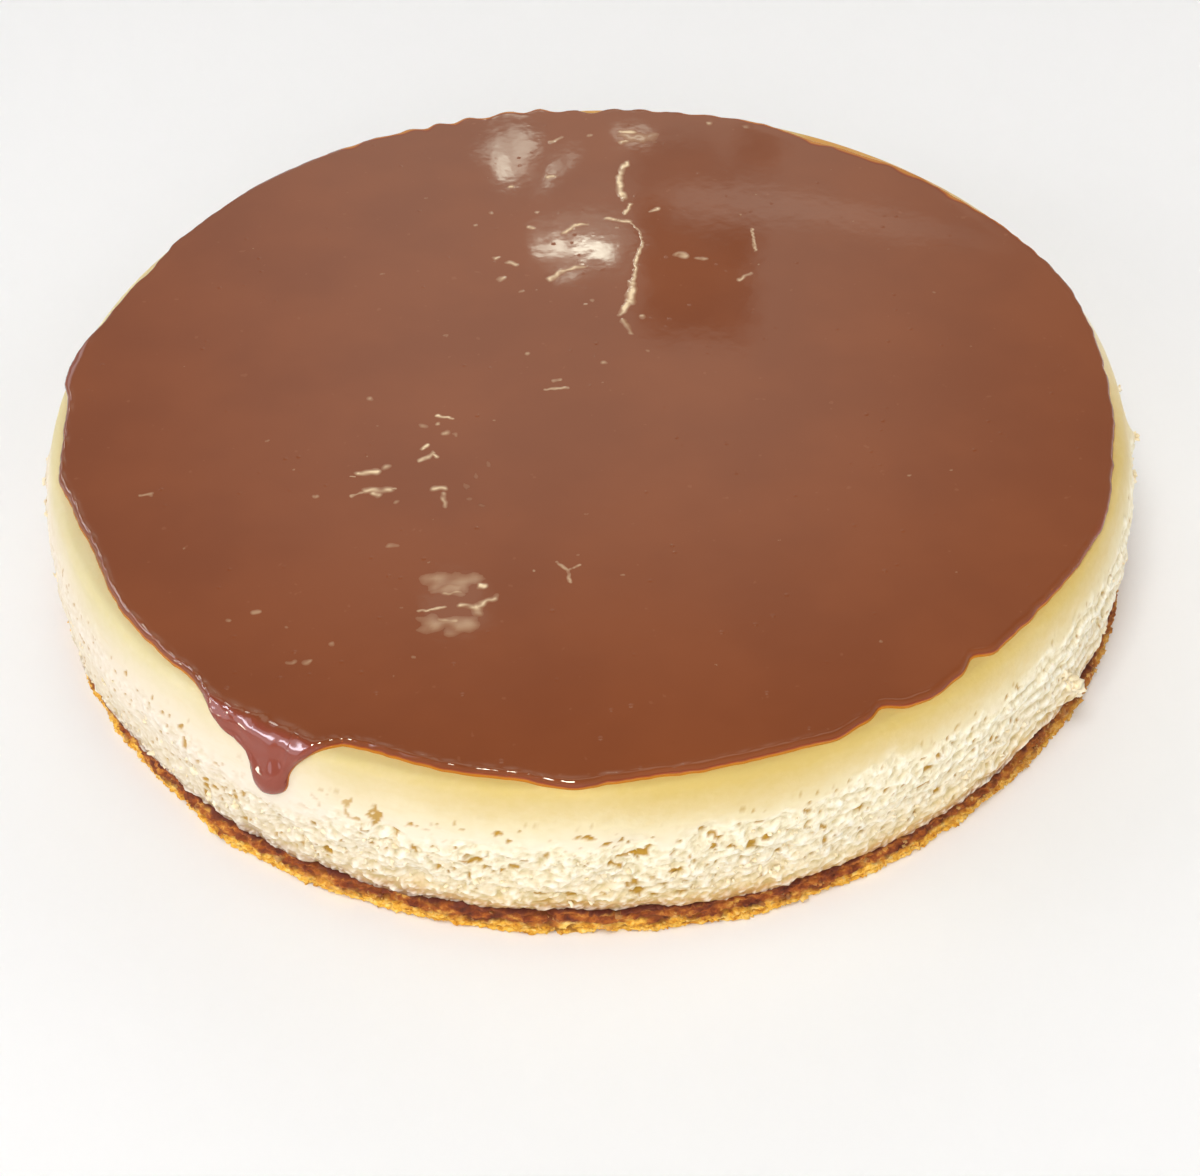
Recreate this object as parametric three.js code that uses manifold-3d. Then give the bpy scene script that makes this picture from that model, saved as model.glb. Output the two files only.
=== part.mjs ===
// A round baked cheesecake: a thin biscuit crust, a tall cream-cheese filling and a poured chocolate glaze
// that has run down the side in one drip. Millimetres, +Z up, front at -Y, the origin in the middle of the
// crust's flat underside.
import * as THREE from "three";
import Module from "manifold-3d";

// Crust: a pressed biscuit disc, a little wider than the filling in places and ragged at its edge.
const CRUST_RADIUS = 127;
const CRUST_HEIGHT = 7;
const CRUST_RIM_DROP = 0.6;
const CRUST_RAGGED = 0.9;
const CRUST_FLAKE_LENGTH = 9;

// At the front left the crust is drawn in under the filling: how far, and the half-width in degrees.
const CRUST_TUCK = 2;
const CRUST_TUCK_AT = 213;
const CRUST_TUCK_HALF = 14;

// Filling: a nearly upright side that draws in towards the top, as baked cheesecake does when it cools.
const FILLING_RADIUS = 127.5;
const FILLING_TOP = 39.4;
const FILLING_FOOT_TUCK = 0.5;
const DRAW_IN_START = 24;
const DRAW_IN_END = 39;
const DRAW_IN = 4.2;
const DRAW_IN_POWER = 1.5;
const EDGE_ROUND = 3;
const SMOOTH_BAND_FOOT = 29;

// Relief of the filling's side: a slow wobble, and the curds of the torn lower part.
const WOBBLE = 0.5;
const WOBBLE_LENGTH = 30;
const CURD = 0.7;
const CURD_LENGTH = 8;

// Glaze: what it is on top, how it ends in a round bead, and how far from the middle its edge runs.
const GLAZE_THICKNESS = 1.4;
const GLAZE_BEAD = 0.35;
const BEAD_WIDTH = 2.2;
const GLAZE_REACH = 121;
const SCALLOP = 0.8;
const SCALLOP_LENGTH = 13;

// Neighbouring pieces are kept this far apart.
const GAP = 0.3;

// How finely the round is divided.
const ROUND_STEPS = 168;
const MERIDIAN_STEPS = 200;

// Azimuths are in degrees from +X towards +Y, so the front is at 270.
// Bulges and notches of the glaze's edge: where, half-width in degrees, and how far out in mm.
const EDGE_BUMPS = [
  { at: 18, half: 13, out: 1.3 },
  { at: 56, half: 7, out: -1.8 },
  { at: 88, half: 3, out: -1.4 },
  { at: 120, half: 16, out: 1.2 },
  { at: 132, half: 14, out: 1.4 },
  { at: 173.5, half: 6, out: 2.6 },
  { at: 192.5, half: 3.4, out: 1.9 },
  { at: 204, half: 14, out: -1.7 },
  { at: 218, half: 7, out: 0.8 },
  { at: 250, half: 7, out: -1.8 },
  { at: 256, half: 7, out: 1 },
  { at: 263, half: 6, out: -0.9 },
  { at: 267, half: 4, out: 2.1 },
  { at: 276, half: 3, out: -0.9 },
  { at: 292, half: 2, out: 0.9 },
  { at: 298, half: 1.4, out: -2 },
  { at: 304, half: 3, out: 0.4 },
  { at: 309.3, half: 1.3, out: -2.2 },
  { at: 320, half: 6, out: -1 },
  { at: 323, half: 9, out: 1.4 },
  { at: 335, half: 4.5, out: 0.9 },
  { at: 338, half: 5, out: 0.6 },
  { at: 347, half: 3, out: -0.6 },
];

// The drip: the glaze spills over the edge on a broad root, narrows, and ends in a round blob. Half-widths
// are in degrees on each side of the blob's middle, heights above the filling in mm.
const DRIP = {
  at: 238.6,
  rootLeft: 12,
  rootRight: 6.6,
  blobHalf: 2,
  rootBehindRim: 2.6,
  tipZ: 26.4,
  rootHeight: 1.3,
  neckHeight: 1.2,
  blobHeight: 2.7,
};

// Larger tears and lumps of the filling's side: azimuth, height, half-sizes along and up, and out in mm.
const SIDE_MARKS = [
  { at: 252.6, z: 14.4, along: 3, up: 4, out: -1.8 },
  { at: 250.3, z: 26, along: 3, up: 3, out: -1.4 },
  { at: 238.8, z: 15, along: 3, up: 3, out: -1.4 },
  { at: 272.2, z: 25, along: 4, up: 4, out: -1.4 },
  { at: 279, z: 28, along: 4, up: 2.5, out: -1.3 },
  { at: 286, z: 18, along: 4, up: 4, out: -1.1 },
  { at: 322.8, z: 13, along: 3.5, up: 4, out: 1.9 },
  { at: 330, z: 22, along: 9, up: 3, out: -1.2 },
  { at: 353, z: 30, along: 3, up: 3, out: 1.3 },
  { at: 183, z: 26, along: 3, up: 3, out: 1.2 },
  { at: 20, z: 18, along: 6, up: 4, out: -1.2 },
  { at: 61, z: 22, along: 5, up: 4, out: 1 },
  { at: 96, z: 16, along: 4, up: 4, out: -1.4 },
  { at: 131, z: 23, along: 5, up: 4, out: -1.1 },
  { at: 160, z: 15, along: 4, up: 4, out: 1 },
];

const radians = THREE.MathUtils.degToRad;
const clamp = THREE.MathUtils.clamp;
const smoothstep = THREE.MathUtils.smoothstep;
const lerp = THREE.MathUtils.lerp;

// A repeatable number from -1 to 1 for each cell of a lattice.
function cellValue(i, j, k, seed) {
  let h = Math.imul(i, 374761393) ^ Math.imul(j, 668265263) ^ Math.imul(k, 1440662683) ^ Math.imul(seed, 69069);
  h = Math.imul(h ^ (h >>> 13), 1274126177);
  h = Math.imul(h ^ (h >>> 16), 1911520717);
  return ((h ^ (h >>> 15)) >>> 0) / 2147483648 - 1;
}

// Smooth noise in space, from -1 to 1, with bumps of the given length.
function noise(x, y, z, length, seed) {
  const cell = [x, y, z].map((v) => Math.floor(v / length));
  const blend = [x, y, z].map((v, n) => {
    const f = v / length - cell[n];
    return f * f * (3 - 2 * f);
  });
  let sum = 0;
  for (let corner = 0; corner < 8; corner++) {
    const step = [corner & 1, (corner >> 1) & 1, corner >> 2];
    const weight = step.reduce((w, s, n) => w * (s ? blend[n] : 1 - blend[n]), 1);
    sum += weight * cellValue(cell[0] + step[0], cell[1] + step[1], cell[2] + step[2], seed);
  }
  return sum;
}

// The signed turn from one azimuth to another, within half a turn.
function turnBetween(from, to) {
  return ((to - from + 540) % 360) - 180;
}

function bump(distance, half) {
  return Math.exp(-((distance / half) ** 2));
}

function onCircle(azimuth, radius, z) {
  const a = radians(azimuth);
  return [radius * Math.cos(a), radius * Math.sin(a), z];
}

// The filling's smooth side: its radius at a height.
function sideRadius(z) {
  const rise = clamp((z - DRAW_IN_START) / (DRAW_IN_END - DRAW_IN_START), 0, 2);
  const tuck = FILLING_FOOT_TUCK * (1 - smoothstep(z, CRUST_HEIGHT, CRUST_HEIGHT + 5));
  return FILLING_RADIUS - DRAW_IN * rise ** DRAW_IN_POWER - tuck;
}

// The side's relief at an azimuth and height: outwards is positive. The top band is baked smooth.
function sideRelief(azimuth, z) {
  const [x, y] = onCircle(azimuth, FILLING_RADIUS, z);
  const torn = 1 - smoothstep(z, SMOOTH_BAND_FOOT - 4, SMOOTH_BAND_FOOT + 3);
  const calm = 1 - 0.8 * smoothstep(z, SMOOTH_BAND_FOOT, FILLING_TOP);
  const bare = 1 - bump(turnBetween(DRIP.at, azimuth), 7) * smoothstep(z, DRIP.tipZ - 6, DRIP.tipZ - 2);
  let out = WOBBLE * calm * noise(x, y, z, WOBBLE_LENGTH, 1);
  out += CURD * torn * noise(x, y, z * 1.4, CURD_LENGTH, 2);
  for (const mark of SIDE_MARKS) {
    const along = radians(turnBetween(mark.at, azimuth)) * FILLING_RADIUS;
    out += mark.out * bump(along, mark.along) * bump(z - mark.z, mark.up);
  }
  return out * bare;
}

// The filling's meridian from the axis, over the rounded edge and down the side, with its length so far.
const edgeFoot = FILLING_TOP - EDGE_ROUND * 0.6;
const edgeSlope = Math.atan2(1, (sideRadius(edgeFoot - 0.05) - sideRadius(edgeFoot + 0.05)) / 0.1);
const edgeDrop = EDGE_ROUND * (1 - Math.cos(edgeSlope));
const sideStart = FILLING_TOP - edgeDrop;
const flatRadius = sideRadius(sideStart) - EDGE_ROUND * Math.sin(edgeSlope);

function meridianPoints() {
  const points = [{ r: 0, z: FILLING_TOP }];
  const arcSteps = 24;
  for (let i = 0; i <= arcSteps; i++) {
    const a = (edgeSlope * i) / arcSteps;
    points.push({
      r: flatRadius + EDGE_ROUND * Math.sin(a),
      z: FILLING_TOP - EDGE_ROUND * (1 - Math.cos(a)),
    });
  }
  for (let i = 1; i <= MERIDIAN_STEPS; i++) {
    const z = lerp(sideStart, CRUST_HEIGHT + GAP, i / MERIDIAN_STEPS);
    points.push({ r: sideRadius(z), z });
  }
  points[0].s = 0;
  for (let i = 1; i < points.length; i++) {
    const before = points[i - 1];
    points[i].s = before.s + Math.hypot(points[i].r - before.r, points[i].z - before.z);
  }
  return points;
}

const meridian = meridianPoints();

// The point and the outward normal at a length along the meridian.
function onMeridian(s) {
  let i = 1;
  while (i < meridian.length - 1 && meridian[i].s < s) i++;
  const a = meridian[i - 1];
  const b = meridian[i];
  const f = (s - a.s) / (b.s - a.s);
  const length = b.s - a.s;
  return {
    r: lerp(a.r, b.r, f),
    z: lerp(a.z, b.z, f),
    normalR: (a.z - b.z) / length,
    normalZ: (b.r - a.r) / length,
  };
}

// The length along the meridian at which the side reaches a height.
function lengthAtHeight(z) {
  const found = meridian.find((p) => p.r > flatRadius && p.z <= z);
  return found.s;
}

// The glaze's edge at an azimuth, as a length along the meridian, leaving out the drip.
function glazeReach(azimuth) {
  const [x, y] = onCircle(azimuth, GLAZE_REACH, 0);
  let reach = GLAZE_REACH + SCALLOP * noise(x, y, 0, SCALLOP_LENGTH, 30);
  for (const b of EDGE_BUMPS) reach += b.out * bump(turnBetween(b.at, azimuth), b.half);
  return reach;
}

// The height of the glaze over the filling, from the distance to its edge, with a round bead.
function glazeHeight(inFromEdge) {
  const d = clamp(inFromEdge / BEAD_WIDTH, 0, 1);
  const round = Math.sqrt(1 - (1 - d) ** 2);
  return GLAZE_THICKNESS * round + GLAZE_BEAD * d * bump(inFromEdge - 1.4 * BEAD_WIDTH, BEAD_WIDTH);
}

// A point over the filling, at an azimuth and a length along the meridian.
function overFilling(azimuth, s, height) {
  const p = onMeridian(s);
  const relief = sideRelief(azimuth, p.z) * smoothstep(s, flatRadius, flatRadius + 4);
  const lift = GAP + height + Math.max(relief, 0);
  return onCircle(azimuth, p.r + p.normalR * lift, p.z + p.normalZ * lift);
}

// A closed surface through rings of points that go up its outside, closed by a fan at each end.
function closedFromRings(rings, lowCentre, highCentre) {
  const count = rings[0].length;
  const positions = [lowCentre, ...rings.flat(), highCentre];
  const high = positions.length - 1;
  const index = [];
  const at = (ring, i) => 1 + ring * count + (i % count);
  for (let i = 0; i < count; i++) {
    index.push(0, at(0, i + 1), at(0, i));
    index.push(high, at(rings.length - 1, i), at(rings.length - 1, i + 1));
    for (let ring = 0; ring + 1 < rings.length; ring++) {
      index.push(at(ring, i), at(ring, i + 1), at(ring + 1, i + 1));
      index.push(at(ring, i), at(ring + 1, i + 1), at(ring + 1, i));
    }
  }
  const geometry = new THREE.BufferGeometry();
  geometry.setAttribute("position", new THREE.Float32BufferAttribute(positions.flat(), 3));
  geometry.setIndex(index);
  geometry.computeVertexNormals();
  return geometry;
}

function evenAzimuths() {
  return Array.from({ length: ROUND_STEPS }, (_, i) => (360 * i) / ROUND_STEPS);
}

function named(name, geometry, look) {
  const mesh = new THREE.Mesh(geometry, new THREE.MeshStandardMaterial(look));
  mesh.name = name;
  return mesh;
}

// The crust's edge stands out in layered flakes: proud at mid height, worn back at the top.
function makeCrust() {
  const levels = [
    { z: 0, out: 0 },
    { z: 1.6, out: 0.45 },
    { z: 3.6, out: 0.1 },
    { z: 5.4, out: 0.3 },
    { z: CRUST_HEIGHT - CRUST_RIM_DROP, out: -0.3 },
    { z: CRUST_HEIGHT, out: -1.6 },
  ];
  const rings = levels.map(({ z, out }, level) =>
    evenAzimuths().map((azimuth) => {
      const [x, y] = onCircle(azimuth, CRUST_RADIUS, 0);
      const slow = 0.5 * noise(x, y, 0, 4 * CRUST_FLAKE_LENGTH, 4);
      const flake = CRUST_RAGGED * noise(x, y, z * 2, CRUST_FLAKE_LENGTH, 5);
      const settled = level === levels.length - 1 ? 0.4 : 1;
      const tuck = CRUST_TUCK * bump(turnBetween(CRUST_TUCK_AT, azimuth), CRUST_TUCK_HALF);
      return onCircle(azimuth, CRUST_RADIUS + out - tuck + settled * (slow + flake), z);
    }),
  );
  const geometry = closedFromRings(rings, [0, 0, 0], [0, 0, CRUST_HEIGHT]);
  return named("crust", geometry, { color: 0xd08f35, roughness: 0.85, metalness: 0 });
}

function makeFilling() {
  const foot = CRUST_HEIGHT + GAP;
  const sideLevels = [foot, 10, 13, 16.5, 20, 23.5, 27, 30, 33, 35.5, sideStart];
  const rings = sideLevels.map((z) =>
    evenAzimuths().map((azimuth) => onCircle(azimuth, sideRadius(z) + sideRelief(azimuth, z), z)),
  );
  const edge = [0.66, 0.33, 0];
  for (const part of edge) {
    const a = edgeSlope * part;
    const z = FILLING_TOP - EDGE_ROUND * (1 - Math.cos(a));
    const r = flatRadius + EDGE_ROUND * Math.sin(a);
    rings.push(evenAzimuths().map((azimuth) => onCircle(azimuth, r + sideRelief(azimuth, z) * part, z)));
  }
  const geometry = closedFromRings(rings, [0, 0, foot], [0, 0, FILLING_TOP]);
  return named("filling", geometry, { color: 0xf3e3b8, roughness: 0.6, metalness: 0 });
}

// The glaze on top is a skin over the filling: its underside follows the filling, its outside ends in a bead.
function topGlaze() {
  const inside = GLAZE_REACH - 14;
  const under = [4, 2.6, 1.3, 0];
  const over = [0.15, 0.6, 1.3, 2.6, 4.5];
  const ring = (inFromEdge, height) =>
    evenAzimuths().map((azimuth) => overFilling(azimuth, glazeReach(azimuth) - inFromEdge, height));
  const insideRing = (height) => evenAzimuths().map((azimuth) => overFilling(azimuth, inside, height));
  const rings = [insideRing(0)];
  for (const d of under) rings.push(ring(d, 0));
  for (const d of over) rings.push(ring(d, glazeHeight(d)));
  rings.push(insideRing(GLAZE_THICKNESS));
  const low = FILLING_TOP + GAP;
  return closedFromRings(rings, [0, 0, low], [0, 0, low + GLAZE_THICKNESS]);
}

// The drip is a loft of low domes down the side. Its root lies inside the glaze on top.
function dripGlaze() {
  const blobRadius = radians(DRIP.blobHalf) * FILLING_RADIUS;
  const root = glazeReach(DRIP.at) - DRIP.rootBehindRim;
  const tip = lengthAtHeight(DRIP.tipZ);
  const blobMiddle = tip - blobRadius;
  const neckSteps = 12;
  const blobSteps = 6;
  const acrossSteps = 10;

  const sections = [];
  for (let i = 0; i < neckSteps; i++) {
    const t = i / neckSteps;
    const narrowing = (1 - t) ** 2;
    const swell = smoothstep(t, 0.55, 1);
    sections.push({
      s: lerp(root, blobMiddle, t),
      left: DRIP.blobHalf + (DRIP.rootLeft - DRIP.blobHalf) * narrowing,
      right: DRIP.blobHalf + (DRIP.rootRight - DRIP.blobHalf) * narrowing,
      height: lerp(lerp(DRIP.rootHeight, DRIP.neckHeight, smoothstep(t, 0, 0.5)), DRIP.blobHeight, swell),
    });
  }
  for (let i = 0; i < blobSteps; i++) {
    const a = (Math.PI / 2) * (i / blobSteps);
    const half = DRIP.blobHalf * Math.cos(a);
    sections.push({
      s: blobMiddle + blobRadius * Math.sin(a),
      left: half,
      right: half,
      height: DRIP.blobHeight * Math.cos(a) ** 0.6,
    });
  }

  const rings = sections.map(({ s, left, right, height }) => {
    const across = (i) => Math.cos((Math.PI * i) / acrossSteps);
    const azimuthAt = (u) => DRIP.at + (u < 0 ? left : right) * u;
    const dome = [];
    const base = [];
    for (let i = 0; i <= acrossSteps; i++) {
      const u = across(i);
      dome.push(overFilling(azimuthAt(u), s, height * Math.sqrt(1 - u ** 2)));
    }
    for (let i = acrossSteps - 1; i > 0; i--) base.push(overFilling(azimuthAt(across(i)), s, 0));
    return [...dome, ...base];
  });
  const first = sections[0];
  return closedFromRings(
    rings,
    overFilling(DRIP.at, first.s, first.height / 2),
    overFilling(DRIP.at, tip, 0.1),
  );
}

function solidOf(geometry) {
  return new wasm.Manifold(
    new wasm.Mesh({
      numProp: 3,
      vertProperties: geometry.getAttribute("position").array,
      triVerts: new Uint32Array(geometry.index.array),
    }),
  );
}

function makeGlaze() {
  const joined = solidOf(topGlaze()).add(solidOf(dripGlaze())).getMesh();
  const geometry = new THREE.BufferGeometry();
  geometry.setAttribute("position", new THREE.BufferAttribute(joined.vertProperties, joined.numProp));
  geometry.setIndex(new THREE.BufferAttribute(joined.triVerts, 1));
  geometry.computeVertexNormals();
  return named("glaze", geometry, { color: 0x8b4a2e, roughness: 0.2, metalness: 0 });
}

const wasm = await Module();
wasm.setup();

const cheesecake = new THREE.Group();
cheesecake.add(makeCrust(), makeFilling(), makeGlaze());

export default cheesecake;
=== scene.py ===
"""A baked cheesecake with a poured chocolate glaze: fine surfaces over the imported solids, camera and light.

Lengths in the shape functions are millimetres and azimuths are degrees from +X towards +Y, as in the part's
source. Objects, lights and the camera are in metres.
"""
import math

import bmesh
import bpy
import numpy as np
from mathutils import Matrix, Vector


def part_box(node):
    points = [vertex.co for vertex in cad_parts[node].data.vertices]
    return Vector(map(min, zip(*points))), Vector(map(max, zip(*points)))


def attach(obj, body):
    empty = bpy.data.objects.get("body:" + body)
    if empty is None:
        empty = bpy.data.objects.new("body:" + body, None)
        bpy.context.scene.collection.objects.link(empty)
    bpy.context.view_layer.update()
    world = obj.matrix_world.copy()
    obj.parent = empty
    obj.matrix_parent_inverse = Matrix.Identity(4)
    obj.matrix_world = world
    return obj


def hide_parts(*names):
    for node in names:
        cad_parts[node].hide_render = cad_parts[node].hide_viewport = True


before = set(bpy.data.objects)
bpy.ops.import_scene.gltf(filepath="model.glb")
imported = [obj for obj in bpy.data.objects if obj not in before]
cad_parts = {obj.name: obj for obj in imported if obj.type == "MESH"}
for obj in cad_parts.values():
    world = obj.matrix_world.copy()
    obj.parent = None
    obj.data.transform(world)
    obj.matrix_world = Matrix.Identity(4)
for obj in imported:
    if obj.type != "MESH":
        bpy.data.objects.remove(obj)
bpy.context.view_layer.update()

MM = 0.001
BODY = "root"


def node_heights_mm(node):
    """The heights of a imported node's lowest and highest points."""
    low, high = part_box(node)
    return low[2] / MM, high[2] / MM


CRUST_TOP = node_heights_mm("crust")[1]
FILLING_FOOT, FILLING_TOP = node_heights_mm("filling")

# Filling: its side's radius, how it draws in at its foot and towards the top, and the rounded top edge.
FILLING_RADIUS = 127.5
FOOT_TUCK, FOOT_TUCK_HEIGHT = 0.5, 5
DRAW_IN_START, DRAW_IN_END, DRAW_IN, DRAW_IN_POWER = 24, 39, 4.2, 1.5
EDGE_ROUND = 3
SMOOTH_BAND_FOOT = 29
WOBBLE, WOBBLE_LENGTH = 0.5, 30
CURD, CURD_LENGTH = 0.7, 8

# Glaze: thickness over the top, its thin lip there and on the side, and how far out its edge runs, with
# scallops all round and waves at one place: azimuth, half-width in degrees and strength.
GLAZE_THICKNESS, LIP_HEIGHT, SIDE_LIP, LIP_WIDTH, SHOULDER_WIDTH = 1.7, 1.2, 0.9, 0.9, 0.6
GLAZE_REACH, SCALLOP, SCALLOP_LENGTH = 121, 0.8, 13
WAVE, WAVE_LENGTH, WAVE_AT = 0.8, 9.4, ((100, 24, 1),)

# Bulges and notches of the glaze's edge: azimuth, half-width in degrees, out in mm.
EDGE_BUMPS = (
    (18, 13, 1.3), (56, 7, -1.8), (88, 3, -1.4), (120, 16, 1.2), (132, 14, 1.4), (173.5, 6, 2.6),
    (192.5, 3.4, 1.9), (204, 14, -1.7), (218, 7, 0.8), (250, 7, -1.8), (256, 7, 1.0), (263, 6, -0.9),
    (267, 4, 2.1), (276, 3, -0.9), (292, 2, 0.9), (298, 1.4, -2), (304, 3, 0.4), (309.3, 1.3, -2.2),
    (320, 6, -1), (323, 9, 1.4), (335, 4.5, 0.9), (338, 5, 0.6), (347, 3, -0.6),
)

# The drip: azimuth of its middle, half-widths in degrees at the rim and at the blob, and the height of its
# tip. Its shoulder on the left: degrees from the middle, half-width, out in mm.
DRIP_AT, DRIP_LEFT, DRIP_RIGHT, BLOB_HALF, DRIP_TIP = 238.6, 12, 6.6, 2.0, 26.4
DRIP_SHOULDER = (-5.6, 1.6, 1.3)
DRIP_HEIGHT, BLOB_HEIGHT = 1.3, 2.7

# Larger tears and lumps of the side: azimuth, height, half-sizes along and up, out in mm.
SIDE_MARKS = (
    (252.6, 14.4, 3, 4, -1.8), (250.3, 26, 3, 3, -1.4), (238.8, 15, 3, 3, -1.4), (272.2, 25, 4, 4, -1.4),
    (279, 28, 4, 2.5, -1.3), (286, 18, 4, 4, -1.1), (322.8, 13, 3.5, 4, 1.9), (330, 22, 9, 3, -1.2),
    (353, 30, 3, 3, 1.3), (183, 26, 3, 3, 1.2), (20, 18, 6, 4, -1.2), (61, 22, 5, 4, 1),
    (96, 16, 4, 4, -1.4), (131, 23, 5, 4, -1.1), (160, 15, 4, 4, 1),
)


# Numbers and noise

def ease(v, low, high):
    """From 0 to 1 between two numbers, slow at both."""
    t = np.clip((v - low) / (high - low), 0, 1)
    return t * t * (3 - 2 * t)


def bump(distance, half):
    return np.exp(-((distance / half) ** 2))


def turn(start, end):
    """The signed turn from one azimuth to another, within half a turn."""
    return ((end - start + 540) % 360) - 180


def nearby(azimuth, places):
    """The sum of bumps round the cake, each with its azimuth, half-width in degrees and strength."""
    return sum(strength * bump(turn(at, azimuth), half) for at, half, strength in places)


def sawtooth(climb):
    """How far a number lies past the whole number below it."""
    return climb - np.floor(climb)


def hashed(i, j, k, seed):
    """A repeatable number from -1 to 1 for each cell of a lattice."""
    h = (i * 374761393) ^ (j * 668265263) ^ (k * 1440662683) ^ (seed * 69069)
    h &= 0xFFFFFFFF
    h = ((h ^ (h >> 13)) * 1274126177) & 0xFFFFFFFF
    h = ((h ^ (h >> 16)) * 1911520717) & 0xFFFFFFFF
    return (h ^ (h >> 15)) / 2147483648.0 - 1.0


def lattice(x, y, z, length):
    points = [np.asarray(v, float) / length for v in np.broadcast_arrays(x, y, z)]
    cells = [np.floor(p).astype(np.int64) for p in points]
    return cells, [p - c for p, c in zip(points, cells)]


def corners(cells, blend):
    """The eight corners of each point's cell: the step to it, its own cell, and its share of the blend."""
    for c in range(8):
        step = (c & 1, (c >> 1) & 1, c >> 2)
        weight = 1.0
        for s, f in zip(step, blend):
            weight = weight * (f if s else 1 - f)
        yield step, [c + s for c, s in zip(cells, step)], weight


def value_noise(x, y, z, length, seed):
    """Smooth bumps of the given length, from -1 to 1: the slow forms that the solids have too."""
    cells, part = lattice(x, y, z, length)
    blend = [f * f * (3 - 2 * f) for f in part]
    return sum(weight * hashed(*at, seed) for _, at, weight in corners(cells, blend))


def grain(x, y, z, length, seed):
    """Gradient noise about 0, mostly within -0.6 to 0.6, on a turned lattice so that no grid shows."""
    turned = (0.8 * x + 0.6 * z, y * 0.8 - 0.36 * x + 0.48 * z, 0.6 * y + 0.48 * x - 0.64 * z)
    cells, part = lattice(*turned, length)
    blend = [f * f * f * (f * (6 * f - 15) + 10) for f in part]
    total = 0.0
    for step, at, weight in corners(cells, blend):
        slope = sum(hashed(*at, seed * 3 + n) * (part[n] - step[n]) for n in range(3))
        total = total + weight * slope
    return total


def flat_noise(x, y, length, seed):
    """Gradient noise that is the same at every height."""
    return grain(x, y, 0 * x, length, seed)


def cell_lumps(x, y, z, length, seed):
    """Scattered points, one in each cell: distance to the nearest and the next, and the nearest's number."""
    cells, part = lattice(x, y, z, length)
    nearest = np.full(np.shape(part[0]), 9.0)
    second = nearest.copy()
    level = np.zeros_like(nearest)
    for step in np.ndindex(3, 3, 3):
        move = [s - 1 for s in step]
        at = [c + m for c, m in zip(cells, move)]
        gap = 0.0
        for n in range(3):
            place = 0.5 + 0.45 * hashed(*at, seed * 3 + n)
            gap = gap + (move[n] + place - part[n]) ** 2
        closer = gap < nearest
        second = np.where(closer, nearest, np.minimum(second, gap))
        level = np.where(closer, hashed(*at, seed * 3 + 7) * 0.5 + 0.5, level)
        nearest = np.where(closer, gap, nearest)
    return np.sqrt(nearest), np.sqrt(second), level


def crumbly(x, y, z, length, seed):
    """Flat-topped crumbs of uneven height with narrow gaps between them, from -0.4 to 0.6."""
    near, second, level = cell_lumps(x, y, z, length, seed)
    return ease(second - near, 0, 0.3) * (0.4 + 0.6 * level) - 0.4


def around(azimuth, radius):
    a = np.radians(azimuth)
    return radius * np.cos(a), radius * np.sin(a)


def placed(azimuth, radius, z):
    """Points (x, y, z) at azimuths, radii and heights."""
    return np.stack(np.broadcast_arrays(*around(azimuth, radius), z), -1)


def sideways(start, azimuth):
    """The turn from one azimuth to another as a length round the filling's side."""
    return np.radians(turn(start, azimuth)) * FILLING_RADIUS


def running(steps):
    """The running total of steps, from 0."""
    return np.concatenate([[0], np.cumsum(steps)])


# Shape of the filling

def side_radius(z):
    rise = np.clip((z - DRAW_IN_START) / (DRAW_IN_END - DRAW_IN_START), 0, 2)
    tuck = FOOT_TUCK * (1 - ease(z, CRUST_TOP, CRUST_TOP + FOOT_TUCK_HEIGHT))
    return FILLING_RADIUS - DRAW_IN * rise ** DRAW_IN_POWER - tuck


def side_relief(azimuth, z):
    """The slow relief of the side, the same as the solid's."""
    x, y = around(azimuth, FILLING_RADIUS)
    torn = 1 - ease(z, SMOOTH_BAND_FOOT - 4, SMOOTH_BAND_FOOT + 3)
    calm = 1 - 0.8 * ease(z, SMOOTH_BAND_FOOT, FILLING_TOP)
    out = WOBBLE * calm * value_noise(x, y, z, WOBBLE_LENGTH, 1)
    out = out + CURD * torn * value_noise(x, y, z * 1.4, CURD_LENGTH, 2)
    for at, height, along, up, push in SIDE_MARKS:
        out = out + push * bump(sideways(at, azimuth), along) * bump(z - height, up)
    return out * drip_shelter(azimuth, z)


def drip_shelter(azimuth, z):
    """How much relief there is, from 0 under the drip to 1 away from it."""
    return 1 - bump(turn(DRIP_AT, azimuth), 7) * ease(z, DRIP_TIP - 6, DRIP_TIP - 2)


def edge_shape():
    """Where the side ends, the slope there, and where the flat top begins."""
    foot = FILLING_TOP - EDGE_ROUND * 0.6
    slope = math.atan2(1, float(side_radius(foot - 0.05) - side_radius(foot + 0.05)) / 0.1)
    start = FILLING_TOP - EDGE_ROUND * (1 - math.cos(slope))
    return slope, start, float(side_radius(start)) - EDGE_ROUND * math.sin(slope)


EDGE_SLOPE, SIDE_START, FLAT_RADIUS = edge_shape()


def meridian_table():
    """The filling's surface from the axis, over the edge and down the side: length, radius, height."""
    arc = np.linspace(0, EDGE_SLOPE, 40)
    side = np.linspace(SIDE_START, FILLING_FOOT, 400)[1:]
    r = np.concatenate([[0], FLAT_RADIUS + EDGE_ROUND * np.sin(arc), side_radius(side)])
    z = np.concatenate([[FILLING_TOP], FILLING_TOP - EDGE_ROUND * (1 - np.cos(arc)), side])
    return running(np.hypot(np.diff(r), np.diff(z))), r, z


MERIDIAN = meridian_table()


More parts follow.
